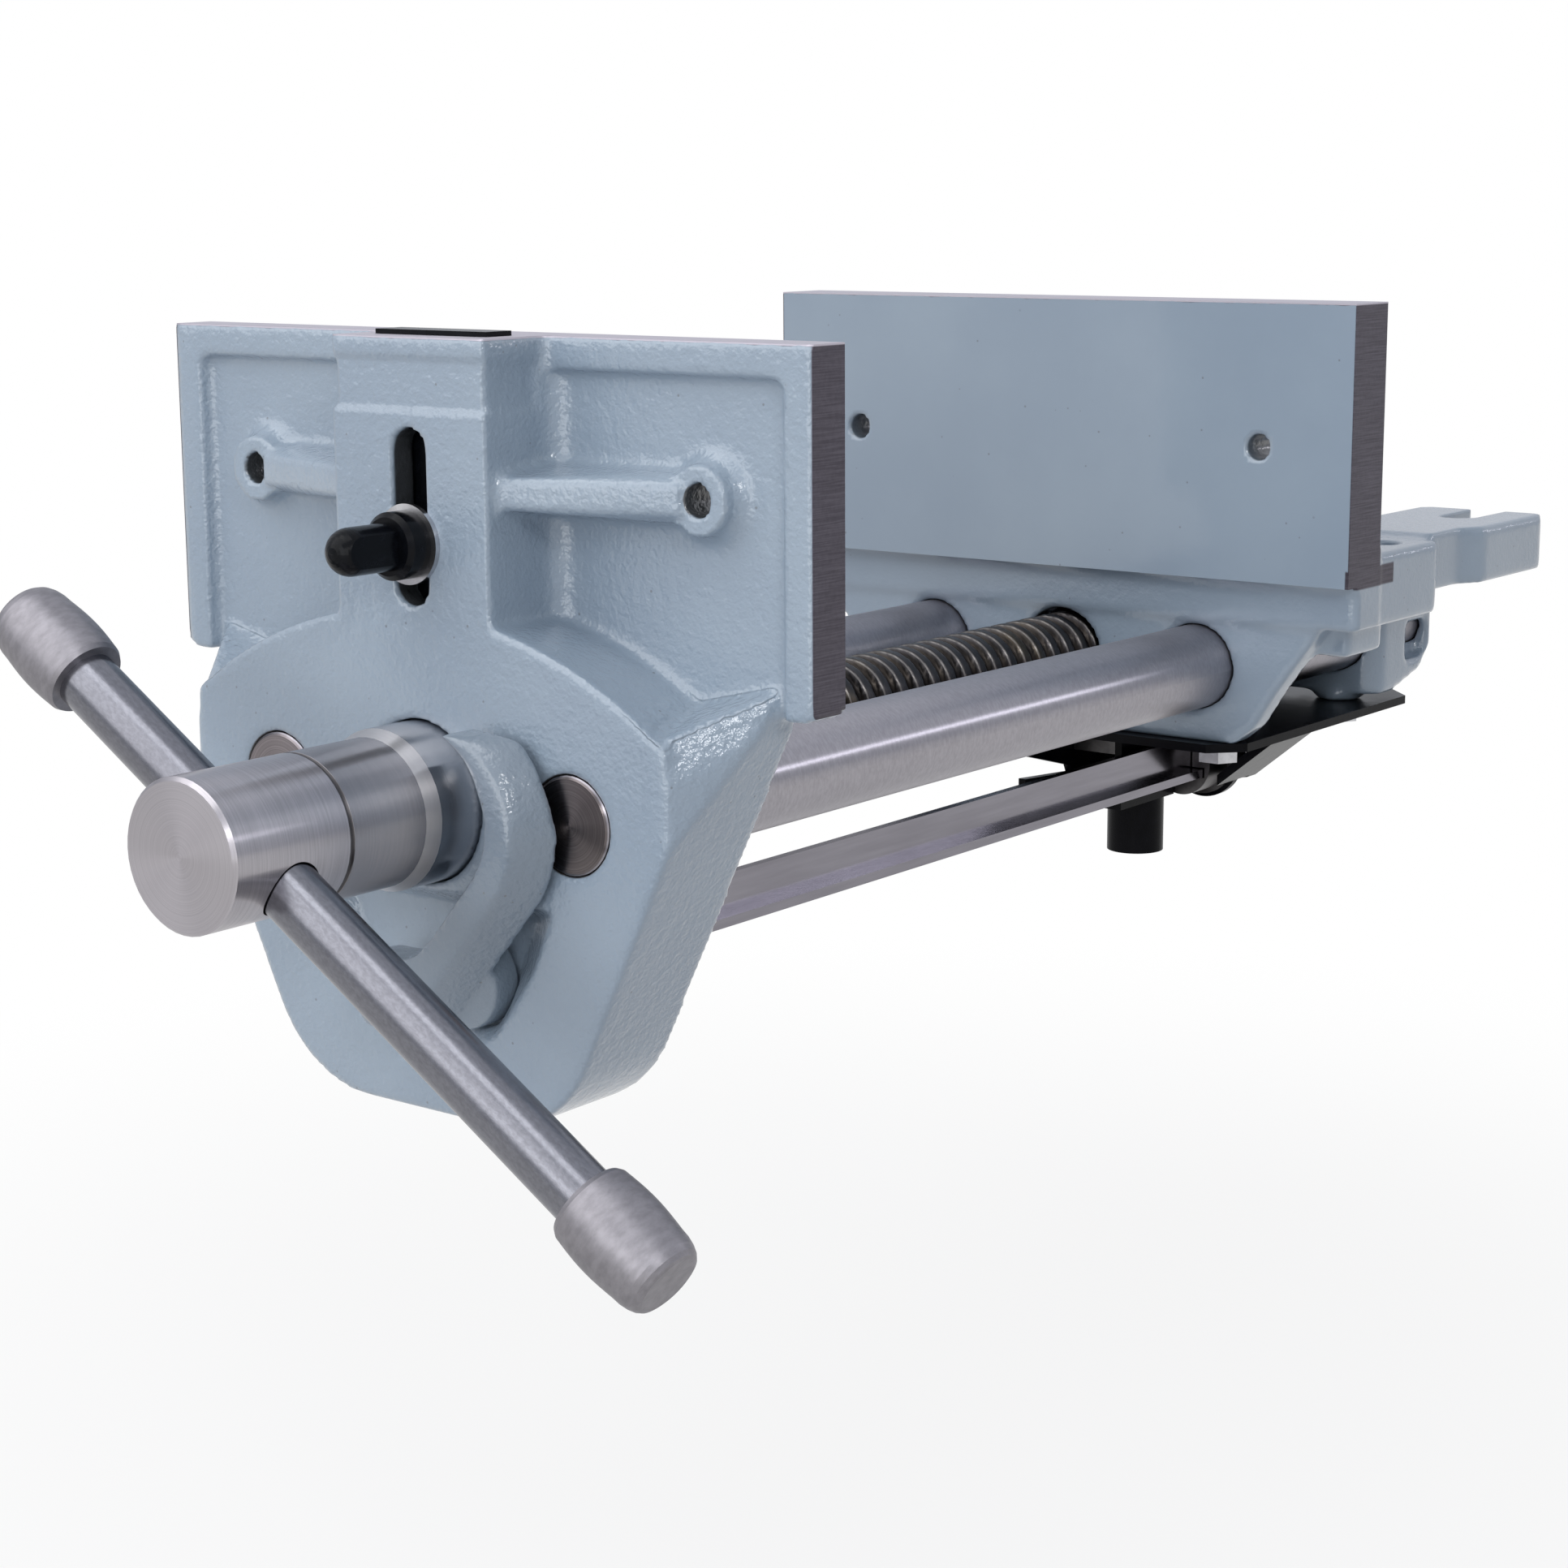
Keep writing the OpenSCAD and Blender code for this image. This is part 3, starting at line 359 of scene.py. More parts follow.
# %% Masks of the castings: milled places, painted shade, dented and ground places
def jaw_ends(tree, side):
    return ramp_up(tree, side, jaw_end_x - 0.40 * MM, jaw_end_x - 0.12 * MM)


def above_plate_foot(tree, z):
    return ramp_up(tree, z, plate_foot_z - 1.0 * MM, plate_foot_z - 0.4 * MM)


def front_milled(tree, x, y, z, wobble):
    ends = jaw_ends(tree, calc(tree, "ABSOLUTE", x))
    return either(tree, ends, near_top(tree, calc(tree, "ADD", z, wobble)))


def rear_milled(tree, x, y, z, wobble):
    """The plate's ends and top, and the step at its foot where the cutter ran on."""
    side = calc(tree, "ABSOLUTE", x)
    plate = both(tree, jaw_ends(tree, side), ramp_down(tree, y, 0.2 * MM, 0.6 * MM),
                 above_plate_foot(tree, z))
    ragged_y = calc(tree, "ADD", y, wobble)
    foot = both(tree, ramp_up(tree, side, jaw_end_x - 1.2 * MM, jaw_end_x - 0.8 * MM),
                ramp_down(tree, ragged_y, milled_foot_y, milled_foot_y + 0.6 * MM),
                ramp_down(tree, z, milled_foot_z, milled_foot_z + 0.6 * MM),
                above_plate_foot(tree, z))
    return either(tree, plate, foot, near_top(tree, calc(tree, "ADD", z, wobble)))


def front_gap_shade(tree, x, y, z):
    """Painted shade round the rods and collar, in the screws' holes, and (with dirt) in the slot.
    """
    side = calc(tree, "ABSOLUTE", x)
    on_front = ramp_down(tree, y, front_rim_y, front_rim_y + 2 * MM)
    rods = radius_from(tree, side, z, rod_x, axis_z)
    ring = both(tree, ramp_down(tree, rods, spigot_r + 0.25 * MM, spigot_r + 0.55 * MM), on_front)
    collar = radius_from(tree, x, z, 0.0, axis_z)
    seat = both(tree, ramp_down(tree, collar, collar_r + 0.05 * MM, collar_r + 0.35 * MM),
                on_front)
    holes = radius_from(tree, side, z, hole_x, front_hole_z)
    slot = both(tree, ramp_down(tree, side, 5.2 * MM, 5.6 * MM),
                ramp_up(tree, y, front_face_y + 0.7 * MM, front_face_y + 1.4 * MM),
                ramp_down(tree, z, slot_top_z - 0.5 * MM, slot_top_z),
                ramp_up(tree, z, slot_foot_z, slot_foot_z + 0.5 * MM),
                ramp_down(tree, y, front_face_y + 9.0 * MM, front_face_y + 10.0 * MM))
    hollows = either(tree, ramp_down(tree, holes, 3.3 * MM, 3.6 * MM), slot)
    return either(tree, ring, seat, calc(tree, "MULTIPLY", hollows, 0.9))


def rear_bore_shade(tree, x, y, z):
    """Painted shade in the bores of the rods and the screw, and in the screws' holes."""
    side = calc(tree, "ABSOLUTE", x)
    rods = radius_from(tree, side, z, rod_x, axis_z)
    screw = radius_from(tree, x, z, 0.0, axis_z)
    holes = radius_from(tree, side, z, hole_x, rear_hole_z)
    return either(tree, ramp_down(tree, rods, rod_r + 0.15 * MM, rod_r + 0.45 * MM),
                  ramp_down(tree, screw, screw_bore_r, screw_bore_r + 0.4 * MM),
                  calc(tree, "MULTIPLY", ramp_down(tree, holes, 3.2 * MM, 3.6 * MM), 0.6))


def ledge_hammered(tree, x, z):
    """The ledge below the plate, where thick paint has dried in small dents."""
    side = calc(tree, "ABSOLUTE", x)
    up = split(tree, put(tree, "ShaderNodeTexCoord").outputs["Normal"])[Z]
    return both(tree, ramp_up(tree, side, 54 * MM, 60 * MM), ramp_up(tree, up, 0.42, 0.58),
                ramp_down(tree, z, -5 * MM, -1 * MM), ramp_up(tree, z, -45 * MM, -30 * MM))


def ground_faces(tree, y, z):
    """The two clamping faces were ground flat before painting, so the paint lies smooth there."""
    rear_gap = calc(tree, "ABSOLUTE", calc(tree, "SUBTRACT", y, rear_grip_y))
    rear = both(tree, ramp_down(tree, rear_gap, 0.3 * MM, 0.8 * MM),
                ramp_up(tree, z, plate_foot_z - 0.8 * MM, plate_foot_z - 0.4 * MM))
    front_gap = calc(tree, "SUBTRACT", front_grip_y, y)
    front = both(tree, ramp_up(tree, front_gap, -0.8 * MM, -0.3 * MM),
                 ramp_down(tree, front_gap, 0.3 * MM, 0.8 * MM))
    return either(tree, rear, front)


enamel_front = finish_enamel("enamel_front", front_milled, front_gap_shade, ledge_hammered,
                             ground_faces)
enamel_rear = finish_enamel("enamel_rear", rear_milled, rear_bore_shade, None, ground_faces, grit=0.4)
# The lever's enamel is darkened to 0.72 as painted shade: it lies in the screw head's shadow.
enamel_lever = finish_enamel("enamel_lever", grit=0.8, shade=0.72)
print("enamel", [m.name for m in (enamel_front, enamel_rear, enamel_lever)])

# %% [markdown]
# ## Steel, as each tool leaves it
# A lathe leaves rings round the screw's head and circles on its face. A grinder leaves the rods
# with a fine grain, and the handle is drawn bar, grained along its length. All three are one
# metal: only the direction and size of the marks change, so one function makes them all.

# %% Steel finishes
STEEL = (0.470, 0.450, 0.475)
ROD = (0.370, 0.355, 0.385)


def steel(name, tone, rough, stretch, scale, depth, spread, centre=None, turn=(0, 0, 0),
          bands=(), face_below=None, face_tone=None, brushed=0.0):
    """Steel with tool marks; depth is in millimetres.

    A round piece has its axis at centre, and its end face lies below face_below. Bands are
    (low y, high y, tone, share, roughness). Brushed bends highlights across turned marks.
    """
    material, tree = new_material(name)
    whole, x, y, z = place(tree)
    marks = noise(tree, whole, scale, 3.0, stretch, turn, 0.6)
    broad = noise(tree, whole, 16.0, 3.0, turn=turn)
    height = marks
    if centre is not None:
        r = radius_from(tree, x, z, *centre)
        circle = put(tree, "ShaderNodeCombineXYZ", None, {0: r, 1: 0.0, 2: 0.0}).outputs[0]
        circles = noise(tree, circle, 2600.0, 3.0, roughness=0.7)
        faces = ramp_down(tree, y, face_below, face_below + 0.3 * MM)
        height = mix_value(tree, faces, marks, circles)
    dark = (*(c * (1 - spread) for c in tone), 1)
    light = (*(min(1.0, c * (1 + spread)) for c in tone), 1)
    stained = (tone[0] * 0.66, tone[1] * 0.63, tone[2] * 0.66, 1)
    colour = mix_colour(tree, ramp_up(tree, height, 0.25, 0.75), dark, light)
    stain_share = calc(tree, "MULTIPLY", ramp_up(tree, broad, 0.45, 0.75), 0.25)
    colour = mix_colour(tree, stain_share, colour, stained)
    if face_tone is not None:
        face = mix_colour(tree, ramp_up(tree, height, 0.3, 0.7),
                          (*(c * 0.6 for c in face_tone), 1), (*face_tone, 1))
        colour = mix_colour(tree, faces, colour, face)
    roughness = rough
    for low, high, band_tone, share, band_rough in bands:
        there = both(tree, ramp_up(tree, y, low - 0.1 * MM, low),
                     ramp_down(tree, y, high, high + 0.1 * MM))
        colour = mix_colour(tree, calc(tree, "MULTIPLY", there, share), colour, (*band_tone, 1))
        roughness = mix_value(tree, there, roughness, band_rough)
    values = {"Base Color": colour, "Metallic": 1.0, "Roughness": roughness,
              "Normal": bump(tree, height, depth * MM, 0.6)}
    if brushed:
        values["Anisotropic"] = brushed
        values["Anisotropic Rotation"] = 0.25
        values["Tangent"] = put(tree, "ShaderNodeTangent",
                                {"direction_type": "RADIAL", "axis": "Y"}).outputs[0]
    shine(tree, principled(tree, values))
    return material


def rod_steel(name, x, face_tone):
    return steel(name, ROD, 0.29, stretch=(1, 2.4, 1), scale=620.0, depth=0.02, spread=0.10,
                 centre=(x, axis_z), face_below=front_face_y + 0.2 * MM, face_tone=face_tone,
                 brushed=0.8)


# From the front: the groove, dark as painted shade, the head's middle, its bright ring, the
# collar.
head_bands = [(-293.2 * MM, -292.0 * MM, (0.05, 0.048, 0.05), 0.9, 0.4),
              (-292.0 * MM, -272.1 * MM, (0.33, 0.32, 0.335), 0.65, 0.27),
              (-272.1 * MM, -269.0 * MM, (0.66, 0.64, 0.64), 0.75, 0.34),
              (-269.0 * MM, -250.0 * MM, (0.50, 0.50, 0.52), 0.85, 0.19)]
turned_steel = steel("turned_steel", STEEL, 0.29, stretch=(1, 40, 1), scale=60.0, depth=0.03,
                     spread=0.12, centre=(0.0, axis_z), bands=head_bands,
                     face_below=head_face_y + 0.3 * MM, brushed=0.85)
# Both rod ends are dark cut steel; the right end's tone is darker than the left's as painted
# shade.
rod_steel_left = rod_steel("rod_steel_left", -rod_x, (0.29, 0.26, 0.27))
rod_steel_right = rod_steel("rod_steel_right", rod_x, (0.20, 0.175, 0.175))
along_handle = (0, -handle_lean, 0)
handle_steel = steel("handle_steel", (0.205, 0.207, 0.232), 0.25, stretch=(0.5, 1, 1),
                     scale=1500.0, depth=0.01, spread=0.12, turn=along_handle)
cap_steel = steel("cap_steel", (0.270, 0.260, 0.280), 0.47, stretch=(1, 0.5, 0.5), scale=700.0,
                  depth=0.03, spread=0.12, turn=along_handle)
bar_steel = steel("bar_steel", (0.26, 0.25, 0.28), 0.16, stretch=(1, 0.06, 1), scale=500.0,
                  depth=0.004, spread=0.08)
dark_steel = steel("dark_steel", (0.13, 0.125, 0.125), 0.38, stretch=(1, 1, 1), scale=200.0,
                   depth=0.04, spread=0.3)
zinc = steel("zinc", (0.60, 0.60, 0.62), 0.25, stretch=(1, 1, 1), scale=160.0, depth=0.05,
             spread=0.18)
bronze = steel("bronze", (0.42, 0.27, 0.12), 0.35, stretch=(1, 1, 1), scale=150.0, depth=0.04,
               spread=0.2)


def oiled_thread():
    """Oil and swarf darken the roots; a lighter line near the crests is a painted highlight."""
    material, tree = new_material("thread_steel")
    whole, x, y, z = place(tree)
    r = radius_from(tree, x, z, 0.0, axis_z)
    grime = noise(tree, whole, 130.0, 3.0)
    rust = noise(tree, whole, 55.0, 2.0)
    root = mix_colour(tree, ramp_up(tree, grime, 0.35, 0.7),
                      (0.012, 0.0105, 0.010, 1), (0.030, 0.025, 0.021, 1))
    crest = mix_colour(tree, ramp_up(tree, rust, 0.5, 0.72),
                       (0.050, 0.047, 0.050, 1), (0.080, 0.066, 0.050, 1))
    # Painted highlight: a lighter line near the crests' edges, where light catches them.
    crest_highlight = both(tree, ramp_up(tree, r, 10.45 * MM, 10.65 * MM),
                  ramp_down(tree, r, 10.85 * MM, 10.95 * MM))
    colour = mix_colour(tree, ramp_up(tree, r, 9.6 * MM, 10.8 * MM), root, crest)
    colour = mix_colour(tree, calc(tree, "MULTIPLY", crest_highlight, 0.4), colour, (0.28, 0.265, 0.25, 1))
    shine(tree, principled(tree, {"Base Color": colour, "Metallic": 0.9, "Roughness": 0.33,
                                  "Normal": bump(tree, grime, 0.06 * MM, 0.5)}))
    return material


thread_steel = oiled_thread()
print("steels made")

# %% [markdown]
# ## Black parts
# The pressed bracket and its cup are dipped in gloss black. The bench dog and its thumbscrew
# are blackened steel, with a finer grain and a stronger shine. Real black is never zero, so
# both keep a little tone that turns towards the light.

# %% Black finishes
def black(name, tone, scale, depth, specular):
    material, tree = new_material(name)
    grain = noise(tree, place(tree)[0], scale, 3.0)
    colour = mix_colour(tree, ramp_up(tree, grain, 0.35, 0.8),
                        (*tone, 1), (*(c * 1.8 for c in tone), 1))
    shine(tree, principled(tree, {"Base Color": colour, "Roughness": 0.22,
                                  "Specular IOR Level": specular,
                                  "Normal": bump(tree, grain, depth * MM, 0.5)}))
    return material


black_paint = black("black_paint", (0.0028, 0.0028, 0.0040), 240.0, 0.08, 0.07)
black_steel = black("black_steel", (0.0026, 0.0031, 0.0044), 420.0, 0.06, 0.12)
print("blacks made")

# %% [markdown]
# ## Dress the pieces that keep their drawn shape
# Most rigid pieces are already right, so they only get a finish. Assigning to the object's
# material slots leaves the mesh alone, which the frame needs. The castings, the screw and the
# spring are in the list too, because their new skins take the same finish.

# %% Give the drawn pieces their finish
dress = {
    "guide_rod_left": rod_steel_left, "guide_rod_right": rod_steel_right,
    "rod_stop_rings": dark_steel,
    "main_screw": turned_steel, "screw_retaining_ring": dark_steel, "thrust_washer": bronze,
    "handle_bar": handle_steel, "handle_cap_upper": cap_steel, "handle_cap_lower": cap_steel,
    "front_jaw": enamel_front, "rear_jaw_body": enamel_rear, "release_lever": enamel_lever,
    "lever_clip": dark_steel, "release_bar": bar_steel, "trip_cam": dark_steel,
    "half_nut": dark_steel, "nut_plunger": dark_steel, "nut_spring": dark_steel,
    "spring_cup": black_paint, "nut_bracket": black_paint, "bracket_bolts": zinc,
    "bench_dog": black_steel, "dog_screw": black_steel, "dog_washer": zinc}
for name, material in dress.items():
    for slot in nodes[name].material_slots:
        slot.material = material
print("dressed", len(dress), "left bare", sorted(set(nodes) - set(dress)))

# %% [markdown]
# ## Cast skins
# A sand casting has no sharp inner corner: metal can't flow into one, and paint rounds it
# further. A drawing has sharp corners everywhere. So each casting is copied, turned into an
# even skin of small squares, and relaxed: each point moves towards its neighbours a few times.
# Where a cutter made the face, the points may slide in its plane but not leave it, and they
# relax less, so milled faces stay flat with crisp edges.

# %% Helpers that rework a mesh
def rework(mesh, merge, more=None):
    """Welds points closer than merge, then does more to the mesh if asked."""
    work = bmesh.new()
    work.from_mesh(mesh)
    bmesh.ops.remove_doubles(work, verts=work.verts, dist=merge)
    if more:
        more(work)
    work.to_mesh(mesh)
    work.free()


def result_of(draft):
    """The mesh that a draft's modifiers make; the draft itself is removed."""
    depsgraph = bpy.context.evaluated_depsgraph_get()
    mesh = bpy.data.meshes.new_from_object(draft.evaluated_get(depsgraph))
    bpy.data.objects.remove(draft)
    return mesh


def even_mesh(name, node, voxel):
    """A drawn piece, rebuilt from small even squares."""
    mesh = nodes[node].data.copy()
    rework(mesh, 2e-6)
    draft = add_object(name + "_draft", mesh)
    remesh = draft.modifiers.new("even", "REMESH")
    remesh.mode, remesh.voxel_size, remesh.adaptivity = "VOXEL", voxel, 0.0
    return result_of(draft)


# %% Make a relaxed cast skin from a drawn solid
HELD_WITHIN = 0.75   # shares of a voxel: nearer points stay on the plane
CRISP_WITHIN = 2.2   # nearer points relax in the first rounds only
CRISP_ROUNDS = 2


def relaxed_skin(name, node, voxel, rounds, planes, softer=None, softer_rounds=0):
    """Planes are (axis, value, where); where limits a plane to a region, or is None.

    Softer gives each point a share, 0 to 1, in the extra softer rounds.
    """
    even = even_mesh(name, node, voxel)
    count = len(even.vertices)
    co = np.empty(count * 3)
    even.vertices.foreach_get("co", co)
    co = co.reshape(-1, 3)
    pairs = np.empty(len(even.edges) * 2, np.int64)
    even.edges.foreach_get("vertices", pairs)
    a, b = pairs.reshape(-1, 2).T
    neighbours = np.maximum(np.bincount(np.concatenate([a, b]), minlength=count), 1)

    held = []
    times_held = np.zeros(count, int)
    crisp = np.zeros(count, bool)
    for axis, value, where in planes:
        off = np.abs(co[:, axis] - value)
        on = off < HELD_WITHIN * voxel
        if where is not None:
            on &= where(co)
        held.append((axis, value, on))
        times_held += on
        crisp |= on if where is not None else off < CRISP_WITHIN * voxel

    soft = np.zeros(count) if softer is None else softer(co)
    for k in range(rounds + softer_rounds):
        mean = np.stack([np.bincount(a, co[b, i], count) + np.bincount(b, co[a, i], count)
                         for i in (X, Y, Z)], 1) / neighbours[:, None]
        share = np.where(crisp, 0.5 if k < CRISP_ROUNDS else 0.0, 0.5)
        share = (share * np.where(k < rounds, 1.0, soft))[:, None]
        co = co + (mean - co) * share
        for axis, value, on in held:
            co[on, axis] = value

    even.vertices.foreach_set("co", co.ravel())
    even.polygons.foreach_set("use_smooth", [True] * len(even.polygons))
    corner = times_held > 1
    sharp = even.attributes.new("sharp_edge", "BOOLEAN", "EDGE")
    sharp.data.foreach_set("value", corner[a] & corner[b])
    even.materials.clear()
    even.materials.append(dress[node])
    even.update()
    skin = add_object(name, even)
    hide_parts(node)
    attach(skin, nodes[node]["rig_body"])
    print(name, "points", count, "size", [round(v, 4) for v in np.ptp(co, axis=0)])


# %% The front jaw's casting
def near_boss(co):
    return np.hypot(np.abs(co[:, X]) - hole_x, co[:, Z] - front_hole_z) < 7.6 * MM


def on_column(low, high):
    return lambda co: (co[:, Z] > low) & (co[:, Z] < high) & (np.abs(co[:, X]) < 21.6 * MM)


relaxed_skin("front_casting_skin", "front_jaw", 1.0 * MM, 2, [
    (X, jaw_end_x, None), (X, -jaw_end_x, None), (Z, jaw_top_z, None), (Y, front_grip_y, None),
    (Y, front_rim_y - 2.2 * MM, near_boss),
    (Y, front_face_y, on_column(-10 * MM, neck_foot_z - 0.4 * MM)),
    (Y, front_face_y + 0.8 * MM, on_column(neck_foot_z - 0.4 * MM, neck_top_z + 0.4 * MM))])


# %% The rear jaw's casting
def on_plate(co):
    return co[:, Y] < 1 * MM


relaxed_skin("rear_casting_skin", "rear_jaw_body", 1.25 * MM, 2, [
    (X, jaw_end_x, on_plate), (X, -jaw_end_x, on_plate), (Z, jaw_top_z, None),
    (Y, rear_grip_y, None), (Y, 0.0, lambda co: co[:, Z] > 2 * MM),
    (Z, plate_foot_z, lambda co: co[:, Y] < 2 * MM)])


# %% The release lever's casting
def up_the_arm(co):
    """The lever's arm is softer than its hub: more so further up and further right."""
    up = np.clip((co[:, Z] - arm_top_z) / (10 * MM) + 2.0, 0, 1)
    right = np.clip(co[:, X] / (6 * MM) - 3.2, 0, 1)
    return up * right


relaxed_skin("lever_casting_skin", "release_lever", 0.6 * MM, 10, [
    (Y, front_rim_y + 12.3 * MM, None)], softer=up_the_arm, softer_rounds=60)

# %% [markdown]
# ## The screw
# The drawn screw is a plain bar of the thread's outer size. The real one has a trapezium thread
# of 7 mm pitch. A thread is a rule: the radius depends only on how far along and how far round a
# point is. So a flat grid is rolled up by a Geometry Nodes tree that holds this rule, with the
# pitch and both radii as named inputs. The drawn head is kept: the bar is cut off behind it.

# %% Helpers that start, end and bake a Geometry Nodes tree
def rule_tree(name, floats, ints=()):
    """A tree with named inputs and a finish: the tree, its inputs, and the finish's key."""
    tree = bpy.data.node_groups.new(name, "GeometryNodeTree")
    tree.interface.new_socket("Geometry", in_out="OUTPUT", socket_type="NodeSocketGeometry")
    sizes = [(label, "NodeSocketFloat", value) for label, value in floats]
    for label, kind, value in sizes + [(label, "NodeSocketInt", value) for label, value in ints]:
        socket = tree.interface.new_socket(label, in_out="INPUT", socket_type=kind)
        socket.default_value = value
    finish = tree.interface.new_socket("Finish", in_out="INPUT",
                                       socket_type="NodeSocketMaterial")
    return tree, tree.nodes.new("NodeGroupInput").outputs, finish.identifier


def end_rule(tree, geometry, given):
    real = put(tree, "GeometryNodeRealizeInstances", None, {0: geometry})
    done = put(tree, "GeometryNodeSetMaterial", None,
               {"Geometry": real.outputs[0], "Material": given["Finish"]})
    put(tree, "NodeGroupOutput", None, {0: done.outputs[0]})


def baked(name, tree, finish_key, finish, slot_name):
    """Runs a Geometry Nodes tree and keeps its result as a plain, closed mesh."""
    draft = add_object(name + "_draft", bpy.data.meshes.new(name + "_draft"))
    modifier = draft.modifiers.new("rule", "NODES")
    modifier.node_group = tree
    modifier[finish_key] = finish
    mesh = result_of(draft)
    rework(mesh, 1e-6, lambda work: bmesh.ops.recalc_face_normals(work, faces=work.faces))
    mesh.polygons.foreach_set("use_smooth", [True] * len(mesh.polygons))
    piece = add_object(name, mesh)
    print(name, "faces", len(mesh.polygons), "size", [round(v, 4) for v in piece.dimensions])
    return piece


# %% Thread by rule, in a Geometry Nodes tree
def thread_tree():
    """A grid whose X runs round the screw and whose Y runs along it, closed at both ends."""
    tree, given, finish_key = rule_tree("screw_thread", [
        ("Pitch", 7.0 * MM), ("Crest radius", 11.0 * MM), ("Root radius", 9.0 * MM),
        ("Start", thread_start_y), ("Length", 323.5 * MM), ("Axis height", axis_z)],
        [("Around", 40), ("Rows", 740)])
    grid = put(tree, "GeometryNodeMeshGrid", None, {
        "Size X": 1.0, "Size Y": 1.0, "Vertices X": given["Around"],
        "Vertices Y": given["Rows"]})
    spot = split(tree, put(tree, "GeometryNodeInputPosition").outputs[0])
    u = calc(tree, "ADD", spot[X], 0.5)
    v = calc(tree, "MULTIPLY_ADD", spot[Y], 1.004, 0.5)
    run = calc(tree, "MINIMUM", calc(tree, "MAXIMUM", v, 0.0), 1.0)
    along = calc(tree, "MULTIPLY_ADD", run, given["Length"], given["Start"])
    turns = calc(tree, "ADD", calc(tree, "DIVIDE", along, given["Pitch"]), u)
    tooth = calc(tree, "MULTIPLY_ADD", calc(tree, "FRACT", turns), 2.0, -1.0)
    land = put(tree, "ShaderNodeMapRange", {"interpolation_type": "SMOOTHSTEP"}, {
        "Value": calc(tree, "ABSOLUTE", tooth), "From Min": 0.36, "From Max": 0.62,
        "To Min": given["Root radius"], "To Max": given["Crest radius"]}).outputs["Result"]
    tip = calc(tree, "MULTIPLY_ADD", ramp_down(tree, run, 0.995, 1.0), 2.4 * MM, 8.6 * MM)
    chamfered = calc(tree, "MINIMUM", land, tip)
    # The grid is a little longer than the screw: rows past an end shrink to its middle.
    inside = calc(tree, "COMPARE", v, run, 1e-6)
    radius = calc(tree, "MULTIPLY", chamfered, inside)
    angle = calc(tree, "MULTIPLY", u, 2 * math.pi)
    px = calc(tree, "MULTIPLY", radius, calc(tree, "COSINE", angle))
    pz = calc(tree, "MULTIPLY_ADD", radius, calc(tree, "SINE", angle), given["Axis height"])
    rolled = put(tree, "GeometryNodeSetPosition", None, {
        "Geometry": grid.outputs["Mesh"],
        "Position": put(tree, "ShaderNodeCombineXYZ", None,
                        {0: px, 1: along, 2: pz}).outputs[0]})
    closed = put(tree, "GeometryNodeMergeByDistance", None,
                 {"Geometry": rolled.outputs[0], "Distance": 1e-6})
    end_rule(tree, closed.outputs[0], given)
    return tree, finish_key


thread = baked("screw_thread", *thread_tree(), thread_steel, "screw_steel")
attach(thread, "screw")


# %% Keep the turned head
def cut_behind_head(work):
    """Cuts the bar off where the thread starts, closes it, and keeps the turned edges crisp."""
    bmesh.ops.bisect_plane(work, geom=work.verts[:] + work.edges[:] + work.faces[:], dist=1e-6,
                           plane_co=(0, thread_start_y, 0), plane_no=(0, 1, 0),
                           clear_outer=True)
    bmesh.ops.holes_fill(work, edges=[e for e in work.edges if e.is_boundary])
    for e in work.edges:
        folded = len(e.link_faces) == 2 and e.calc_face_angle(0) > math.radians(28)
        e.smooth = not folded
    for f in work.faces:
        f.smooth = True


head_mesh = nodes["main_screw"].data.copy()
rework(head_mesh, 2e-6, cut_behind_head)
head_mesh.materials.clear()
head_mesh.materials.append(turned_steel)
head = add_object("screw_head_turned", head_mesh)
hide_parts("main_screw")
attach(head, "screw")
print("head faces", len(head_mesh.polygons))

# %% [markdown]
# ## The nut's spring
# A spring is one wire on a helix, so a spiral curve with a round section makes it. It shortens
# when the half nut drops; here it stays at rest length, fixed to the vise's fixed side.

# %% Spring by Geometry Nodes
def spring_tree():
    tree, given, finish_key = rule_tree("coil_spring", [
        ("Coil radius", 5.1 * MM), ("Wire radius", wire_r), ("Height", 10.1 * MM),
        ("Turns", 4.0)])
    coil = put(tree, "GeometryNodeCurveSpiral", None, {
        "Resolution": 28, "Rotations": given["Turns"], "Start Radius": given["Coil radius"],
        "End Radius": given["Coil radius"], "Height": given["Height"]})
    wire = put(tree, "GeometryNodeCurvePrimitiveCircle", None,
               {"Resolution": 10, "Radius": given["Wire radius"]})
    tube = put(tree, "GeometryNodeCurveToMesh", None, {
        "Curve": coil.outputs[0], "Profile Curve": wire.outputs[0], "Fill Caps": True})
    moved = put(tree, "GeometryNodeTransform", None, {
        "Geometry": tube.outputs[0], "Translation": (0.0, nut_y, spring_foot_z + wire_r)})
    end_rule(tree, moved.outputs[0], given)
    return tree, finish_key


spring = baked("nut_spring_coil", *spring_tree(), dark_steel, "spring_steel")
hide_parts("nut_spring")
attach(spring, "fixed_side")
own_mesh(spring)

# %% [markdown]
# ## Floor, light and backdrop
# The photograph is a cut-out on white. The vise hangs under its bench, so the floor lies lower
# than the handle can swing. It takes a soft shadow near the vise and fades to the backdrop's
# white further out, for the camera and for mirror-like faces alone. The key, the fill and the
# overhead lamp are large, so their light is soft. A long narrow strip to the rear draws the
# bright line along the rods, and a small lamp at the right makes the glints on dented paint.

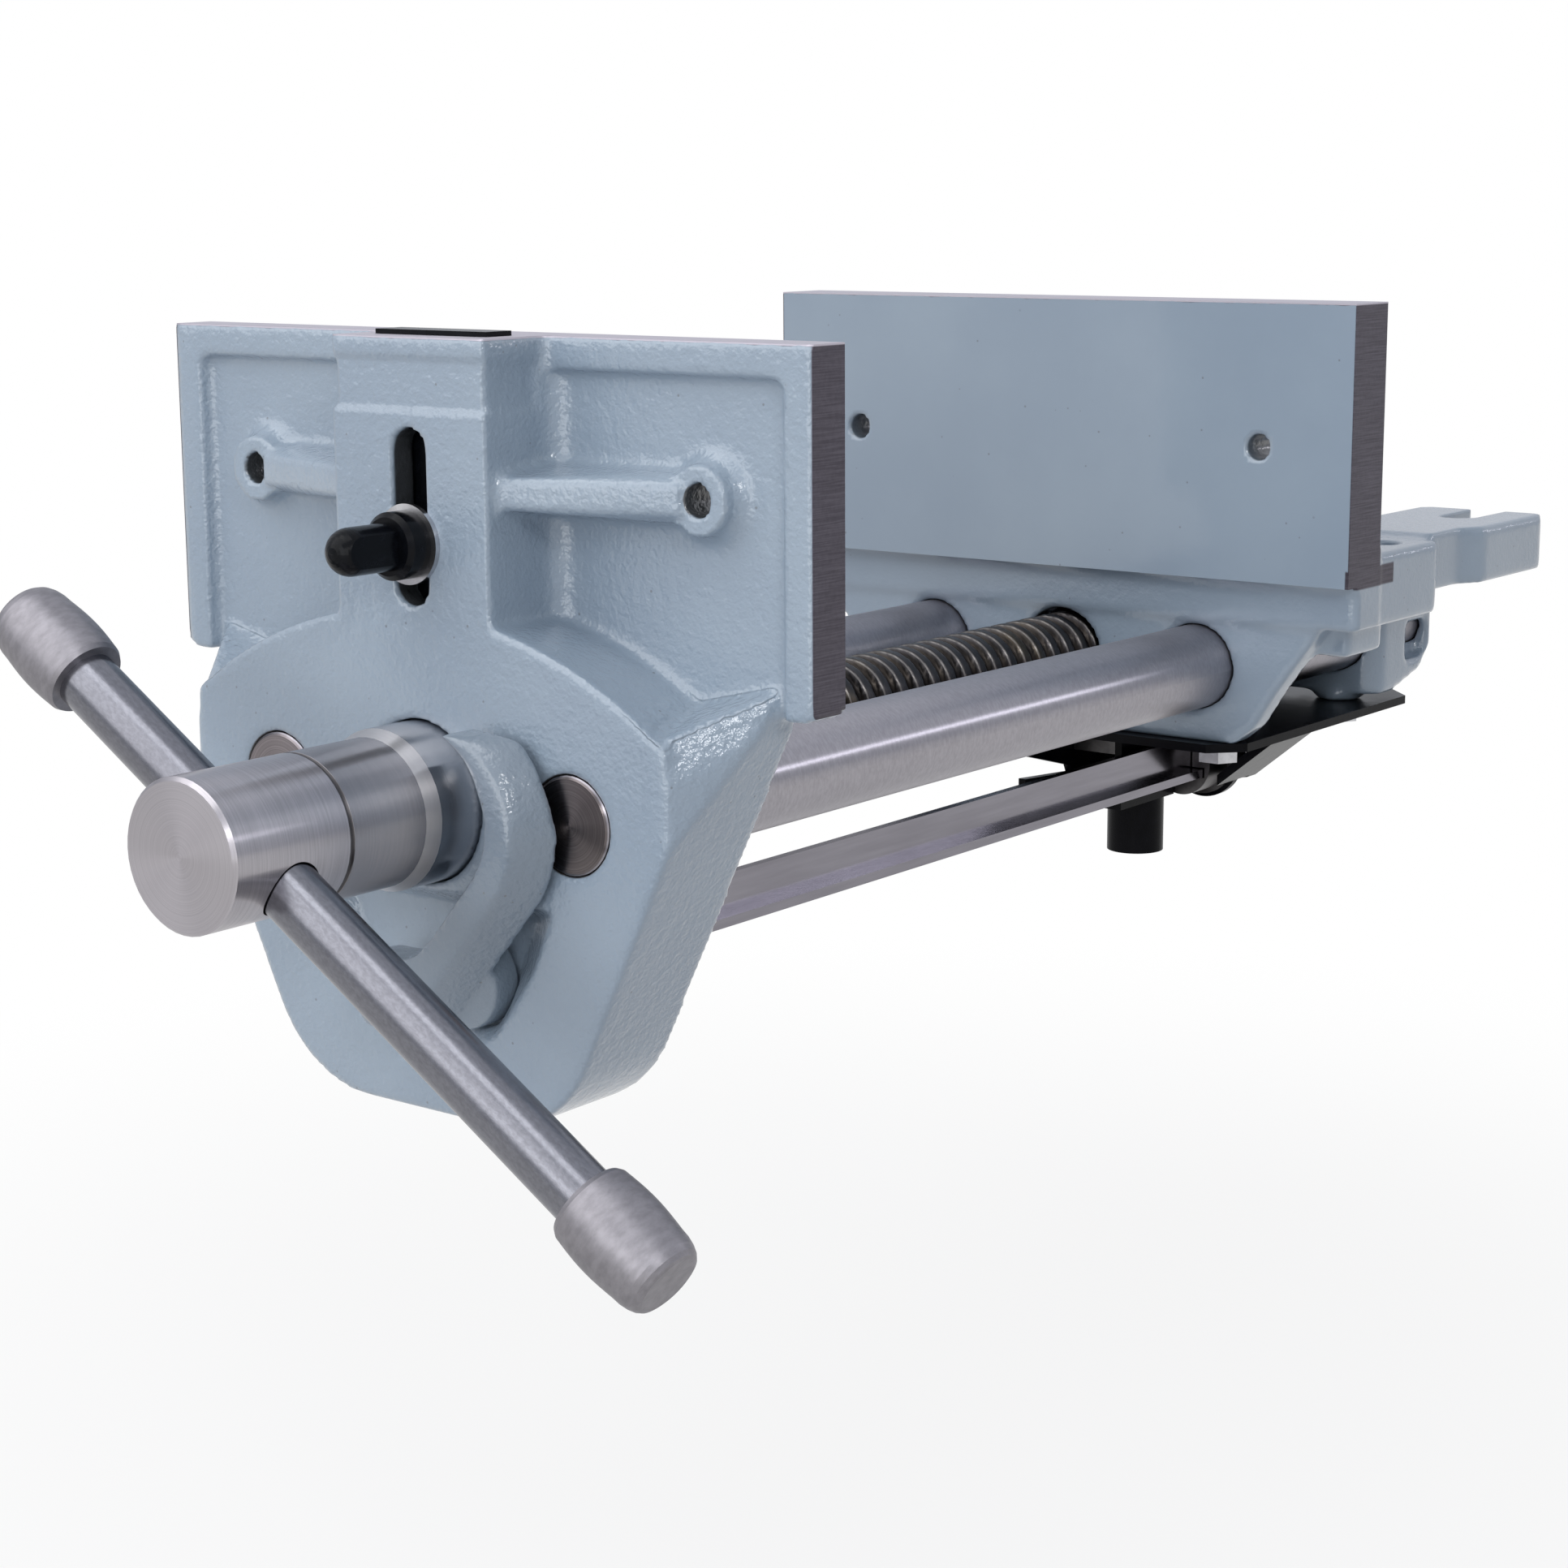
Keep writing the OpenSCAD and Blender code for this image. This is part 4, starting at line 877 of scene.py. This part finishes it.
# %% Floor that keeps the shadow and fades to white
reach = 6.0
corners = [(x, y, floor_z) for x, y in ((-reach, -reach), (reach, -reach), (reach, reach),
                                        (-reach, reach))]
floor_mesh = bpy.data.meshes.new("floor")
floor_mesh.from_pydata(corners, [], [(0, 1, 2, 3)])
floor = add_object("floor", floor_mesh)
floor_material, tree = new_material("floor_white")
whole = place(tree)[0]
far = put(tree, "ShaderNodeVectorMath", {"operation": "DISTANCE"},
          {0: whole, 1: (0.0, -0.1, floor_z)}).outputs["Value"]
path = put(tree, "ShaderNodeLightPath").outputs
seen = either(tree, path["Is Camera Ray"], path["Is Glossy Ray"], path["Is Transmission Ray"])
whiter = calc(tree, "MULTIPLY_ADD", ramp_up(tree, far, 0.10, 0.50), 0.15, 0.85)
plain = put(tree, "ShaderNodeBsdfDiffuse", None, {0: (0.62, 0.62, 0.63, 1)}).outputs[0]
glow = calc(tree, "MULTIPLY_ADD", path["Is Camera Ray"], 0.15, 0.85)
white = put(tree, "ShaderNodeEmission", None, {0: (1, 1, 1, 1), 1: glow}).outputs[0]
shine(tree, put(tree, "ShaderNodeMixShader", None,
                {0: calc(tree, "MULTIPLY", seen, whiter), 1: plain, 2: white}).outputs[0])
floor_mesh.materials.append(floor_material)
print("floor at", round(floor_z, 4))

# %% World: white to the camera, a soft studio to the object
world = bpy.data.worlds.new("studio")
bpy.context.scene.world = world
world.use_nodes = True
tree = world.node_tree
tree.nodes.clear()
way = split(tree, put(tree, "ShaderNodeTexCoord").outputs["Generated"])
level = ramp_up(tree, way[Z], -0.1, 0.75)
left = ramp_up(tree, calc(tree, "MULTIPLY", way[X], -1.0), -0.9, 0.8)
studio = calc(tree, "ADD", calc(tree, "MULTIPLY", level, 0.29),
              calc(tree, "MULTIPLY_ADD", left, 0.30, 0.09))
path = put(tree, "ShaderNodeLightPath").outputs
mirrored = calc(tree, "MULTIPLY_ADD", level, 0.30, 0.62)
strength = mix_value(tree, path["Is Glossy Ray"], studio, mirrored)
strength = mix_value(tree, path["Is Camera Ray"], strength, 1.0)
cool = mix_colour(tree, path["Is Camera Ray"], (0.90, 0.93, 1.0, 1), (1, 1, 1, 1))
back = put(tree, "ShaderNodeBackground", None, {0: cool, 1: strength}).outputs[0]
put(tree, "ShaderNodeOutputWorld", None, {0: back})


# %% Lamps
def soft_lamp(name, where, aim, size, watts, tint=(1, 1, 1)):
    lamp = bpy.data.lights.new(name, "AREA")
    lamp.shape = "RECTANGLE"
    lamp.size, lamp.size_y = size
    lamp.energy, lamp.color = watts, tint
    holder = add_object(name, lamp)
    holder.location = where
    holder.rotation_euler = (Vector(aim) - Vector(where)).to_track_quat("-Z", "Y").to_euler()


soft_lamp("key_left", (-0.65, -1.30, 0.85), (0, -0.20, -0.02), (1.6, 1.4), 9.8,
          (1.0, 0.985, 0.97))
soft_lamp("front_fill", (0.35, -1.70, 0.22), (0.05, -0.25, 0.01), (1.1, 0.9), 6.4)
soft_lamp("strip_right", (1.5, 2.0, 0.60), (0, 2.0, -0.03), (2.2, 0.16), 4.8, (0.93, 0.92, 1.0))
soft_lamp("glint_right", (1.23, -1.06, 0.74), (0.07, -0.25, -0.01), (0.36, 0.36), 5.0)
soft_lamp("overhead", (-0.1, -0.75, 1.45), (0, -0.15, -0.03), (1.4, 0.55), 5)
print("lamps", len(bpy.data.lights))
